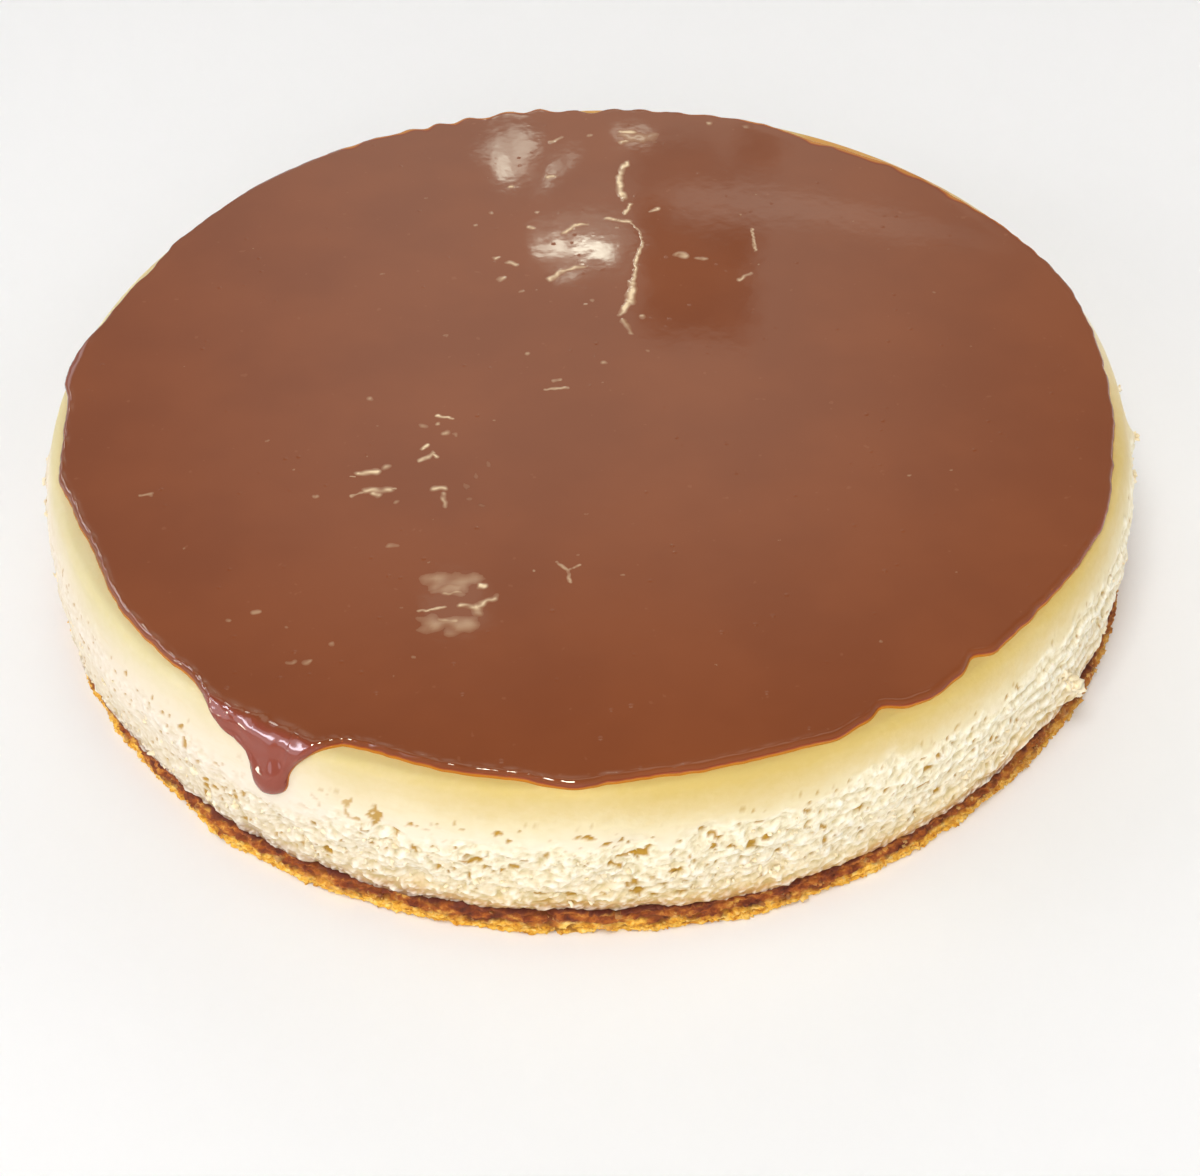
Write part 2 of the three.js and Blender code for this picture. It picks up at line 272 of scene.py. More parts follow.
def on_meridian(s):
    """Radius, height and outward normal at a length along the meridian."""
    table_s, table_r, table_z = MERIDIAN
    step = 0.15
    r, z = np.interp(s, table_s, table_r), np.interp(s, table_s, table_z)
    dr = np.interp(s + step, table_s, table_r) - np.interp(s - step, table_s, table_r)
    dz = np.interp(s + step, table_s, table_z) - np.interp(s - step, table_s, table_z)
    length = np.maximum(np.hypot(dr, dz), 1e-9)
    return r, z, -dz / length, dr / length


def length_at_height(z):
    table_s, table_r, table_z = MERIDIAN
    side = table_r > FLAT_RADIUS + EDGE_ROUND * math.sin(EDGE_SLOPE) - 0.01
    return float(np.interp(-z, -table_z[side], table_s[side]))


# Objects and meshes

def put(name, data):
    """An object in the scene."""
    made = bpy.data.objects.new(name, data)
    bpy.context.scene.collection.objects.link(made)
    return made


def new_mesh(name, points_mm, faces, values):
    """A mesh object from points in mm and faces, with named numbers for each vertex."""
    mesh = bpy.data.meshes.new(name)
    mesh.from_pydata((np.asarray(points_mm) * MM).tolist(), [], faces)
    for key, numbers in values.items():
        layer = mesh.attributes.new(key, "FLOAT", "POINT")
        layer.data.foreach_set("value", np.asarray(numbers, np.float32).ravel())
    mesh.polygons.foreach_set("use_smooth", np.full(len(mesh.polygons), True))
    mesh.update()
    return put(name, mesh)


def sheet(rows, columns):
    """The numbers of a grid's points, and its quads."""
    number = np.arange(rows * columns).reshape(rows, columns)
    quads = np.stack([number[:-1, :-1], number[1:, :-1], number[1:, 1:], number[:-1, 1:]], -1)
    return number, quads.reshape(-1, 4)


def ring_faces(rows, count, first=0):
    """Quads between rows of a closed round grid, facing out when rows go up the outside."""
    row = first + count * np.arange(rows - 1)[:, None]
    here = np.arange(count)[None, :]
    after = (here + 1) % count
    quads = np.stack([row + here, row + after, row + count + after, row + count + here], -1)
    return quads.reshape(-1, 4).tolist()


def cap_faces(start, count, centre, up):
    here = start + np.arange(count)
    after = start + (np.arange(count) + 1) % count
    pair = (here, after) if up else (after, here)
    return np.stack([*pair, np.full(count, centre)], -1).tolist()


def closed_body(name, rows, foot, top, values):
    """A body of round rows of points, closed by points on the axis at its foot and its top."""
    count = rows.shape[1]
    last = len(rows) * count
    faces = ring_faces(len(rows), count) + cap_faces(0, count, last, up=False)
    faces += cap_faces(last - count, count, last + 1, up=True)
    points = np.concatenate([rows.reshape(-1, 3), [[0, 0, foot], [0, 0, top]]])
    values = {key: np.concatenate([numbers.ravel(), [0, 0]]) for key, numbers in values.items()}
    return new_mesh(name, points, faces, values)


# The filling's fine surface. Places round the cake have an azimuth, a half-width in degrees and a strength.
# The torn part of the side ends lower at the front, is calmer at the left and the right, and has sheets and
# holes at some places. A strength below 0 in FEWER_HOLES means more of them.

FILLING_COLUMNS = 1360
FINE_ROWS, FINE_TOP, COARSE_ROWS, COARSE_FOOT, EDGE_ROWS = 54, 31.5, 6, 32.4, 8
FILLING_INSIDE, FOOT_LEDGE, FOOT_DROP = 110, 2.4, 0.2
TORN_TOP, TORN_FADE, TORN_LOWER = 33.5, 5, ((258, 30, 5),)
CALM_LEFT, CALM_RIGHT = ((207, 28, 0.7),), ((325, 26, 0.2),)
BEND, BEND_LENGTH, FLAKE_STEPS = 1.3, 2.3, 4.5
SHEETS_AT, SHEET_HEIGHT, SHEET_PEAK = ((322, 20, 1), (60, 25, 0.6), (150, 16, 0.5)), 4.6, 0.86
FEWER_HOLES = ((268, 34, -0.1), (207, 30, 0.2))
PIT_DEPTH, SHADE_GAIN = 0.32, 3.2


def torn_amount(azimuth, z):
    """How coarse the side is, from 0 to 1: smooth in the top band, calmer at the left and the right."""
    x, y = around(azimuth, FILLING_RADIUS)
    ragged = 5 * grain(x, y, z * 0.5, 15, 21) + 5 * grain(x, y, z, 4, 22)
    top = TORN_TOP - nearby(azimuth, TORN_LOWER)
    band = 1 - ease(z + ragged, top - TORN_FADE, top)
    calm = nearby(azimuth, CALM_LEFT) * ease(z, 9, 17) + nearby(azimuth, CALM_RIGHT)
    return band * (1 - calm) * drip_shelter(azimuth, z)


def curd_relief(x, y, z):
    """Torn curds: flat flakes with steep small steps between them, and rounder lumps over those."""
    bent = [v + BEND * grain(x, y, z, BEND_LENGTH, seed) for v, seed in ((x, 35), (y, 36), (z, 37))]
    bent[2] = 1.3 * bent[2]
    climb = FLAKE_STEPS * (grain(*bent, 3.3, 33) + 0.6 * grain(*bent, 1.5, 34))
    shelf = (np.floor(climb) + ease(sawtooth(climb), 0.68, 0.97)) / FLAKE_STEPS
    near, second, level = cell_lumps(*bent, 1.9, 32)
    lumps = ease(second - near, 0, 0.3) * (1 - 0.5 * near ** 2) * (0.35 + 0.65 * level) - 0.35
    return 0.7 * grain(x, y, 1.4 * z, 8, 38) + 0.95 * shelf + 0.3 * lumps


def torn_sheets(x, y, azimuth, z):
    """Overlapping torn ledges, where the side was pulled from the tin at the right."""
    climb = (z + 3.4 * grain(x, y, z, 11, 41) + 1.2 * grain(x, y, z, 3.5, 42)) / SHEET_HEIGHT
    saw = sawtooth(climb)
    ledge = 0.9 * ease(saw, 0, SHEET_PEAK) * (1 - ease(saw, SHEET_PEAK, 1)) - 0.35
    return nearby(azimuth, SHEETS_AT) * ledge


# Ragged holes: azimuth, height, half-sizes along and up in mm.
PITS = (
    (268.5, 29.5, 1.4, 0.8), (270.4, 27.7, 0.9, 0.6), (271.6, 28.4, 0.6, 1), (274, 26.4, 0.8, 0.6),
    (272.3, 23.9, 2.6, 0.7), (271, 21.4, 0.9, 0.9), (276, 19.2, 2, 1), (278.6, 28.6, 1.6, 0.8),
    (279.4, 27.6, 1, 0.8), (272.7, 16.7, 0.7, 1.5), (272.4, 14, 1, 0.8), (266.7, 13.2, 1.2, 0.8),
    (267.3, 10.4, 1.3, 0.7), (268.8, 9.4, 1, 0.6), (264.3, 10.5, 0.8, 0.5), (258.5, 22, 1.3, 0.7),
    (262.2, 21.3, 1, 0.6), (264.1, 13.6, 0.9, 0.6), (261.6, 28.8, 0.7, 0.4), (283, 23.4, 1, 0.7),
    (274.2, 12, 1, 0.6), (276.6, 11.5, 1, 0.6), (228, 26.5, 0.6, 1.8), (230, 16, 1.4, 1.3),
    (234.7, 21, 1.2, 0.9), (232.3, 26, 0.6, 0.6), (226.2, 18.4, 0.5, 0.8), (244, 31.5, 0.8, 0.7),
    (242, 26.2, 1, 0.6), (246.5, 30.5, 1.1, 0.9), (249.4, 28.6, 1.5, 1.9), (251.2, 26.2, 1, 0.6),
    (243.7, 14.6, 1.3, 1.2), (245.6, 19.8, 0.7, 0.5), (247.6, 27.5, 0.8, 0.5), (252.8, 23.4, 0.7, 0.5),
    (302.3, 17.5, 0.6, 1.2), (293.5, 23.1, 0.8, 0.6), (284.4, 24.7, 1, 0.6), (299.8, 22.5, 0.6, 0.6),
    (289.8, 22.2, 0.9, 0.5), (301, 26, 0.7, 0.8),
)


def torn_spots(x, y, azimuth, z, torn):
    """Small ragged holes, from 0 to 1: the listed ones, and small ones that gather in places."""
    field = grain(x, y, z, 1.7, 51) + 0.6 * grain(x, y, z, 1.0, 52)
    gathered = 0.5 * grain(x, y, z, 13, 53) - 0.06 - nearby(azimuth, FEWER_HOLES)
    spots = ease(field + gathered, 0.5, 0.6) * ease(torn, 0.1, 0.5)
    for at, height, along, up in PITS:
        reach = bump(np.hypot(sideways(at, azimuth) / along, (z - height) / up), 1.1)
        spots = np.maximum(spots, ease(reach + 1.2 * field, 0.4, 0.62))
    return spots


def sunken(relief):
    """How far each point of the grid lies below the mean of the 25 points round it."""
    mean = sum(np.roll(relief, n, 1) for n in range(-2, 3)) / 5
    padded = np.pad(mean, ((2, 2), (0, 0)), "edge")
    return sum(padded[n:n + len(relief)] for n in range(5)) / 5 - relief


def make_filling():
    azimuth = np.arange(FILLING_COLUMNS) * 360 / FILLING_COLUMNS
    fine_heights = np.linspace(FILLING_FOOT - FOOT_DROP, FINE_TOP, FINE_ROWS)
    z = np.concatenate([fine_heights, np.linspace(COARSE_FOOT, SIDE_START, COARSE_ROWS)])
    angles, heights = azimuth[None, :], z[:, None]
    x, y = around(angles, FILLING_RADIUS)
    torn, shelter = torn_amount(angles, heights), drip_shelter(angles, heights)
    fine = torn * (curd_relief(x, y, heights) + torn_sheets(x, y, angles, heights))
    foot = 1 - ease(heights, FILLING_FOOT + 1.5, FILLING_FOOT + 5)
    spots = torn_spots(x, y, angles, heights, torn) * (1 - ease(heights, 31, 34)) * (1 - 0.6 * foot)
    spots = spots * shelter
    skin = 0.14 * grain(x, y, 3 * heights, 8, 62) + 0.1 * grain(x, y, 2 * heights, 3, 63)
    out = side_relief(angles, heights) + fine - PIT_DEPTH * spots + (1 - torn) * skin * shelter
    slide = np.degrees(0.6 * torn * grain(x, y, heights, 2.4, 64) / FILLING_RADIUS)
    lift = 0.7 * torn * grain(x, y, heights, 2.4, 65)
    lift = lift * ease(heights, FILLING_FOOT, FILLING_FOOT + 2)
    side = placed(angles + slide, side_radius(heights) + out, heights + lift)

    def plain_row(radius, height, relief=0.0):
        return placed(azimuth, radius + relief * out[-1], height)

    below = [plain_row(FILLING_INSIDE, FILLING_FOOT),
             plain_row(float(side_radius(FILLING_FOOT)) - FOOT_LEDGE, FILLING_FOOT - FOOT_DROP)]
    above = []
    for share in np.linspace(0.88, 0, EDGE_ROWS):
        a = EDGE_SLOPE * share
        height = FILLING_TOP - EDGE_ROUND * (1 - math.cos(a))
        above.append(plain_row(FLAT_RADIUS + EDGE_ROUND * math.sin(a), height, share))
    above += [plain_row(FLAT_RADIUS - 2, FILLING_TOP), plain_row(FILLING_INSIDE, FILLING_TOP)]

    # How sunken each point is paints shade into the hollows of the fine relief.
    dip = SHADE_GAIN * sunken(fine)
    shades = {"crease": np.clip(dip, 0, 1), "lit_crest": np.clip(-dip, 0, 1), "hole_shade": spots, "torn": torn}
    values = {key: np.pad(shade, ((len(below), len(above)), (0, 0))) for key, shade in shades.items()}
    return closed_body("filling_body", np.stack([*below, *side, *above]), FILLING_FOOT, FILLING_TOP, values)


# The crust's fine surface

CRUST_COLUMNS, CRUST_ROWS = 1800, 42
CRUST_RADIUS, CRUST_RAGGED, CRUST_FLAKE = 127, 0.9, 9
CRUST_TUCK, CRUST_TUCK_AT, CRUST_TUCK_HALF = 2, 213, 14
CRUST_SLOW_SHARE, CRUST_LAYER = 0.8, 1.7
# The crust's outline from its foot to the groove under the filling: out from the radius, and height, in mm.
CRUST_OUTLINE = np.array((
    (-1.2, 0), (-0.1, 0), (0.3, 0.4), (0.45, 1.2), (0.4, 2.4), (0.2, 3.6), (-0.1, 4.8), (-0.4, 5.8),
    (-1.0, 6.3), (-2.0, 6.6), (-3.4, 6.9), (-5, 7),
))


def crust_slow(azimuth, z):
    """The slow relief of the crust's edge, the same as the solid's. It lies further in at the left."""
    x, y = around(azimuth, CRUST_RADIUS)
    tuck = CRUST_TUCK * bump(turn(CRUST_TUCK_AT, azimuth), CRUST_TUCK_HALF)
    slow = 0.5 * value_noise(x, y, 0 * x, 4 * CRUST_FLAKE, 4) - tuck
    return slow + CRUST_RAGGED * value_noise(x, y, z * 2, CRUST_FLAKE, 5)


def make_crust():
    azimuth = np.arange(CRUST_COLUMNS) * 360 / CRUST_COLUMNS
    lengths = running(np.hypot(*np.diff(CRUST_OUTLINE, axis=0).T))
    along = np.linspace(0, lengths[-1], CRUST_ROWS)
    out, z = (np.interp(along, lengths, part) for part in CRUST_OUTLINE.T)
    angles, heights = azimuth[None, :], z[:, None]
    x, y = around(angles, CRUST_RADIUS)
    lumps = crumbly(x, y, heights * 1.6, 2.1, 71)
    grit = crumbly(x, y, heights * 1.2, 0.75, 72)
    wavy = heights + 0.9 * grain(x, y, heights, 12, 76) + 0.4 * grain(x, y, heights, 3, 77)
    saw = sawtooth(wavy / CRUST_LAYER)
    layers = ease(saw, 0, 0.25) * (1 - 0.7 * ease(saw, 0.3, 1)) - 0.5
    holes = ease(-grain(x, y, heights * 1.8, 3.0, 74), 0.26, 0.42)
    rough = grain(x, y, heights, 2.8, 73)
    relief = 0.7 * lumps + 0.32 * grit + 0.65 * layers + 0.7 * rough - 0.9 * holes
    slow = crust_slow(angles, heights) * CRUST_SLOW_SHARE
    radius = CRUST_RADIUS + out[:, None] + slow + relief * (0.5 + 0.5 * ease(heights, 0, 0.5))
    rise = (0.4 * grain(x, y, heights, 1.9, 75) + 0.25 * lumps) * ease(heights, 0.3, 1.5)
    side = placed(angles, radius, np.clip(heights + rise, 0, CRUST_TOP + 0.1))
    # The crease value paints shade into the gaps between the crumbs.
    return closed_body("crust_biscuit", side, 0, CRUST_TOP, {"crease": np.clip(0.45 - 0.9 * relief, 0, 1)})


# Small lumps: crumbs on the crust and curds on the filling's side. Each size has a share of them.

CRUMBS, CRUMB_SIZES, CRUMB_SHARES = 1150, [0.25, 0.4, 0.6, 0.95], [0.42, 0.38, 0.16, 0.04]
CURDS, CURD_SIZES, CURD_SHARES = 700, [0.35, 0.5, 0.75, 1.1], [0.38, 0.36, 0.2, 0.06]
# The share of the crumbs that lie anywhere. The rest gather about an azimuth: its middle and its spread.
CRUMBS_ANYWHERE, CRUMBS_ABOUT = 0.8, (318, 12)
BITS_TO_A_CLUMP = 7
# Larger crumbs where the crust is broken, and bits that hang on the filling's side: azimuth, height, size.
LARGE_CRUMBS = ((323, 4.2, 1.6), (325.5, 4.6, 1.3), (327, 3.6, 1.5), (329, 4.4, 1.1), (321.5, 3.0, 1.2))
HANGING_BITS = (
    (321.2, 19.5, 1.3), (321.9, 17, 1.5), (322.4, 14.4, 1.6), (323, 12, 1.1), (184, 24.5, 0.8),
    (181.6, 27, 0.7), (186, 22, 0.8), (179, 19, 0.9), (190, 26, 0.7), (359.3, 33.5, 0.7), (2, 30, 0.7),
    (353.5, 30, 0.9), (350, 24, 0.9),
)


def rounded_block():
    """Corners and triangles of a small ball made from an icosahedron."""
    made = bmesh.new()
    bmesh.ops.create_icosphere(made, subdivisions=2, radius=1)
    points = np.array([v.co[:] for v in made.verts])
    made.verts.index_update()
    faces = np.array([[v.index for v in f.verts] for f in made.faces])
    made.free()
    return points, faces


def random_turn(rng):
    q = rng.normal(size=4)
    w, x, y, z = q / np.linalg.norm(q)
    return np.array([
        [1 - 2 * (y * y + z * z), 2 * (x * y - z * w), 2 * (x * z + y * w)],
        [2 * (x * y + z * w), 1 - 2 * (x * x + z * z), 2 * (y * z - x * w)],
        [2 * (x * z - y * w), 2 * (y * z + x * w), 1 - 2 * (x * x + y * y)],
    ])


def scatter(name, places, rng):
    """One mesh of many uneven lumps. Each place is an azimuth, a radius, a height, a size and a flatness."""
    ball, triangles = rounded_block()
    points, faces, tint = [], [], []
    for n, (azimuth, radius, z, size, flat) in enumerate(places):
        shape = ball * np.array([1, rng.uniform(0.7, 1), flat])
        knobs = 1 + 1.1 * grain(*(ball * 1.3 + 7.3 * n).T, 1, 81) + 0.16 * rng.normal(size=len(ball))
        lump = (shape * knobs[:, None]) @ random_turn(rng).T * size + placed(azimuth, radius, z)
        lump[:, 2] = np.maximum(lump[:, 2], 0)
        points.append(lump)
        faces.append(triangles + n * len(ball))
        tint.append(np.full(len(ball), rng.uniform()))
    values = {"tint": np.concatenate(tint)}
    return new_mesh(name, np.concatenate(points), np.concatenate(faces).tolist(), values)


def crust_face(azimuth, z):
    """Radius of the crust's face at an azimuth and a height."""
    out = float(np.interp(z, CRUST_OUTLINE[1:, 1], CRUST_OUTLINE[1:, 0]))
    return CRUST_RADIUS + out + CRUST_SLOW_SHARE * float(crust_slow(np.array(azimuth), np.array(z)))


def make_crust_crumbs():
    rng = np.random.default_rng(5)
    places = []
    for _ in range(CRUMBS):
        at = rng.uniform(0, 360) if rng.uniform() < CRUMBS_ANYWHERE else rng.normal(*CRUMBS_ABOUT)
        z = 0.2 + 5.2 * rng.beta(0.9, 1.6)
        size = rng.choice(CRUMB_SIZES, p=CRUMB_SHARES)
        radius = crust_face(at, z) + rng.uniform(-0.45, 0.25) * size
        places.append((at, radius, z, size, rng.uniform(0.5, 0.9)))
    places += [(at, crust_face(at, z) - 0.2 * size, z, size, 0.7) for at, z, size in LARGE_CRUMBS]
    return scatter("crust_crumbs", places, rng)


def filling_face(azimuth, z):
    """Radius of the filling's side at an azimuth and a height, without its fine relief."""
    at, height = np.array([azimuth], float), np.array([z], float)
    return float(side_radius(height)[0] + side_relief(at, height)[0])


def make_filling_curds():
    rng = np.random.default_rng(8)
    places = []
    while len(places) < CURDS:
        at = rng.uniform(0, 360)
        z = 10 + 18 * rng.beta(1.3, 1.7)
        torn = float(torn_amount(np.array([at]), np.array([z]))[0])
        if rng.uniform() > torn:
            continue
        size = rng.choice(CURD_SIZES, p=CURD_SHARES)
        radius = filling_face(at, z) + rng.uniform(-0.6, 0.1) * size
        places.append((at, radius, z, size, rng.uniform(0.35, 0.7)))
    for at, z, size in HANGING_BITS:
        for _ in range(BITS_TO_A_CLUMP):
            along, up, out = rng.normal(size=3) * size * np.array([0.4, 0.5, 0.15])
            spot = at + math.degrees(along / FILLING_RADIUS)
            radius = filling_face(spot, z + up) + 0.35 * size + out
            places.append((spot, radius, z + up, size * rng.uniform(0.5, 0.9), rng.uniform(0.4, 0.7)))
    return scatter("filling_curds", places, rng)


# The glaze: a square grid bent to a disc over the flat top, then rows out to the edge, and a few rows back in
# that lie under it.

GLAZE_CELLS, GLAZE_INSIDE, GLAZE_ROWS, EDGE_CROWDING = 236, 113, 30, 1.35
GLAZE_SUNK, UNDER_ROWS = -0.25, (1, 0.75, 0.5, 0.25)
GLAZE_LEVEL = FILLING_TOP + GLAZE_THICKNESS
BLOB_RADIUS = math.radians(BLOB_HALF) * FILLING_RADIUS
BLOB_MIDDLE = length_at_height(DRIP_TIP) - BLOB_RADIUS
# Where the grid's columns stand closer together: azimuth, half-width in degrees, and how much closer.
DENSE_AT, DENSE_HALF, DENSE = DRIP_AT - 1.5, 9, 3.5
# Within this many degrees of the drip, distances to the edge are measured to this many points of its outline.
NEAR_DRIP, OUTLINE_BORDERS, OUTLINE_POINTS, OUTLINE_BATCH = 16, (-22, 18), 1600, 200
# The crease across the drip's top, and beads along the edge, at some places and everywhere.
CREASE_AT, BEADS_AT, BEADS_EVERYWHERE = ((DRIP_AT - 4, 9, 0.7),), ((262, 26, 0.4), (203, 26, 0.9)), 0.2
# Where the amber of the thin edge is wider, at the back.
GLOW_AT = ((114, 24, 1), (48, 30, 1))


def glaze_rim(azimuth):
    """The glaze's edge without the drip, as a length along the meridian."""
    x, y = around(azimuth, GLAZE_REACH)
    reach = GLAZE_REACH + SCALLOP * value_noise(x, y, 0 * x, SCALLOP_LENGTH, 30) + nearby(azimuth, EDGE_BUMPS)
    along = np.radians(azimuth) * GLAZE_REACH + 3 * flat_noise(x, y, 14, 93)
    waves = WAVE * np.sin(2 * np.pi * along / WAVE_LENGTH) * nearby(azimuth, WAVE_AT)
    return reach + waves + 0.5 * flat_noise(x, y, 5, 91) + 0.25 * flat_noise(x, y, 2.2, 92)


def glaze_edge(azimuth):
    """The glaze's edge with the drip."""
    rim = glaze_rim(azimuth)
    offset = turn(DRIP_AT, azimuth)
    widest = np.where(offset < 0, DRIP_LEFT, DRIP_RIGHT)
    share = np.clip((np.abs(offset) - BLOB_HALF) / (widest - BLOB_HALF), 0, 1)
    at, half, push = DRIP_SHOULDER
    flank = rim + (BLOB_MIDDLE - rim) * (1 - np.sqrt(share)) + push * bump(offset - at, half)
    round_end = BLOB_MIDDLE + BLOB_RADIUS * np.sqrt(np.clip(1 - (offset / BLOB_HALF) ** 2, 0, 1))
    return np.where(np.abs(offset) < BLOB_HALF, round_end, np.where(share < 1, np.maximum(flank, rim), rim))


def glaze_columns(angle):
    """Spread the grid's angles so that columns stand closer together at the drip."""
    table = np.linspace(0, 360, 3601)
    dense = 1 + DENSE * np.exp(-((turn(DENSE_AT, table) / DENSE_HALF) ** 6))
    total = running((dense[1:] + dense[:-1]) / 2)
    return np.interp(angle, total / total[-1] * 360, table)


def top_relief(x, y):
    """The glaze's own unevenness over the flat top, in mm."""
    return 0.06 * flat_noise(x, y, 62, 101) + 0.012 * flat_noise(x, y, 17, 102)


# Painted glints and painted reflections in the glaze, each over a small real rise: x and y of the points that
# each follows, then its half-width in mm and how pale it is, from 0 to 1.
PAINTED_GLINTS = (
    (-34.3, -10.5, -30.8, -11.6, 0.5, 0.75), (-34.1, -13.4, 0.6, 0.6),
    (-37.6, -22.4, -36.1, -20.5, 0.5, 1.0), (-38.1, -26.1, -35.9, -24.8, -34.9, -23.6, 0.6, 0.5),
    (-34.9, -23.8, -34.1, -24.9, 0.5, 0.6), (-37.5, -13.9, -36.9, -14.2, 0.9, 0.3),
    (-32.5, -17.0, 0.8, 0.35), (-29.9, -17.4, -29.7, -18, 0.7, 0.3), (-51.2, -29.6, -47.2, -29.5, 0.7, 1.0),
    (-53.2, -30.5, -52.1, -30.6, 0.4, 0.5), (-49.8, -35.5, -44.1, -35.6, 0.9, 0.5),
    (-47.6, -36.3, -46.6, -36.9, 0.8, 0.6), (-44.1, -35.4, -42.8, -35.2, 0.4, 0.4),
    (-52.5, -37, -49.8, -35.8, 0.5, 0.35), (-34.3, -35.6, -31.8, -35.7, 0.8, 0.55),
    (-32.2, -37.3, -31.8, -42, 0.7, 0.45), (-22.7, -24.9, -22.7, -29.8, -25.8, -32.5, 1.6, 0.045),
    (-27, -35.3, -25.7, -40.1, -23.2, -42.1, 1.6, 0.05), (-18.2, -44.3, -17.5, -47, 1.4, 0.04),
    (-33, -65.2, -26.4, -65.7, 2.5, 0.2), (-32.5, -67.5, -28, -68, 1.6, 0.2),
    (-31.3, -69.1, -27.7, -68.8, 0.6, 0.5), (-36.5, -74, -31.2, -73.1, 0.5, 0.6),
    (-23.9, -67.2, -23.1, -67.4, 0.8, 1.0), (-27.9, -72.4, -24.7, -73.5, -20.8, -70.9, 0.8, 0.6),
    (-24.6, -73.8, -24.3, -74.6, 1.1, 0.8), (-34.2, -77.6, -26.2, -78.6, 2.2, 0.21),
    (-32.3, -76.9, -28.7, -77.1, 0.9, 0.5), (-50.1, -3.2, 0.9, 0.5), (-45.4, -27.8, 1.0, 0.35),
    (-42.6, -40, 1.0, 0.2), (-43.6, -53.5, -41.8, -54, 0.9, 0.13), (-7.5, 0.5, -5.9, 0.8, 0.6, 0.4),
    (-9.4, -2.4, -4.1, -2.3, 0.6, 0.35), (-7.6, -60.9, -5.3, -63.5, -5.0, -67.1, 0.5, 0.35),
    (-2.7, -62.1, -5.3, -63.5, 0.5, 0.3), (-99.3, -34.1, -97, -33.9, 0.7, 0.35),
    (-62.9, -87, -61.8, -87, 0.8, 0.25), (-59, -87.3, -58, -87.2, 0.8, 0.25),
    (-71, -72.2, -69.6, -72.1, 0.7, 0.2), (-17.5, 82.9, 0.8, 0.8), (-12.7, 63.9, -11.7, 63.3, 0.7, 0.8),
    (-10.5, 70.4, 0.8, 0.5), (-26.6, 65.5, 0.8, 0.7), (-22.4, 71.2, 0.8, 0.3), (-21.2, 51.1, 0.8, 0.6),
    (-18, 48.7, -16, 47.7, 0.7, 0.7), (-20.3, 41.4, -19.4, 42.2, 0.8, 0.5), (-14.9, 36.2, 0.8, 0.2),
    (-27.9, 9.6, 0.8, 0.3), (4.6, 7, 1.0, 0.45), (-13.5, 11.4, 0.8, 0.3), (15.1, 10.4, 0.8, 0.35),
    (0.8, 30, 0.7, 0.3), (-3.7, 60.5, -1, 64, 2.2, 64.3, 0.7, 0.8),
    (-7.7, 40.9, -4.5, 44.2, 0.7, 46, 0.8, 0.75), (24.6, 49.3, 26.4, 48.5, 1.1, 0.4),
    (29.4, 47.5, 31, 46.9, 0.9, 0.35), (44, 58.9, 44, 49.7, 0.5, 0.4), (44.2, 43.5, 0.6, 0.3),
    (39.1, 37.6, 41.9, 40.1, 0.7, 0.5), (18.5, 68.7, 20.1, 69.7, 0.7, 0.55), (36.4, 110.2, 0.9, 0.4),
    (46.4, 107.3, 0.8, 0.3), (-3.4, 105.8, -6.8, 104, 0.8, 0.4), (3.9, 106.3, 0.9, 0.3),
    (12.5, 107.8, 15.8, 106.9, 0.9, 0.9), (12.8, 102.5, 13.6, 103, 1.0, 0.9), (14, 105, 20, 104, 2.2, 0.25),
    (-7.6, 86.4, -6.4, 87, 0.9, 0.8), (13.5, 92.2, 11.1, 86.3, 11.2, 81.4, 11.8, 75.5, 0.85, 1.0),
    (13.5, 72.5, 12, 68.4, 0.6, 0.9), (7.1, 66.6, 9.8, 65.5, 12.9, 64.5, 0.7, 0.7),
    (12.9, 64.5, 15.4, 60, 15.9, 54.5, 0.5, 0.3), (15.9, 54.5, 14.1, 48.3, 13.4, 43, 12.8, 37.7, 0.55, 0.85),
    (12.8, 37.7, 11.5, 30.9, 1.1, 0.95), (11.5, 30.9, 9.3, 25.1, 0.7, 0.95), (14.3, 24.3, 0.8, 0.7),
    (9.7, 22.6, 11.5, 17.5, 0.8, 0.3),
)
# More small painted glints over small rises, at random places: how many, how far out, half-widths and how
# pale.
PIMPLES, PIMPLE_REACH, PIMPLE_HALVES, PIMPLE_STRENGTHS = 60, 108, (0.4, 0.9), (0.05, 0.22)
# A mark's sheet reaches past its line, and has steps along it, by shares of its half-width. Wide marks are
# soft painted reflections, and the others are painted glints with a brighter core.
MARK_BORDER, MARK_STEP, MARK_ACROSS, MARK_LEAST = 2.5, 0.3, 17, 15
MARK_SINK, MARK_RISE, MARK_RISE_HALF, MARK_GAIN = 0.003, 0.07, 0.8, 1.15
SOFT_REFLECTION_HALF, MARK_CORE = 1.4, 0.65


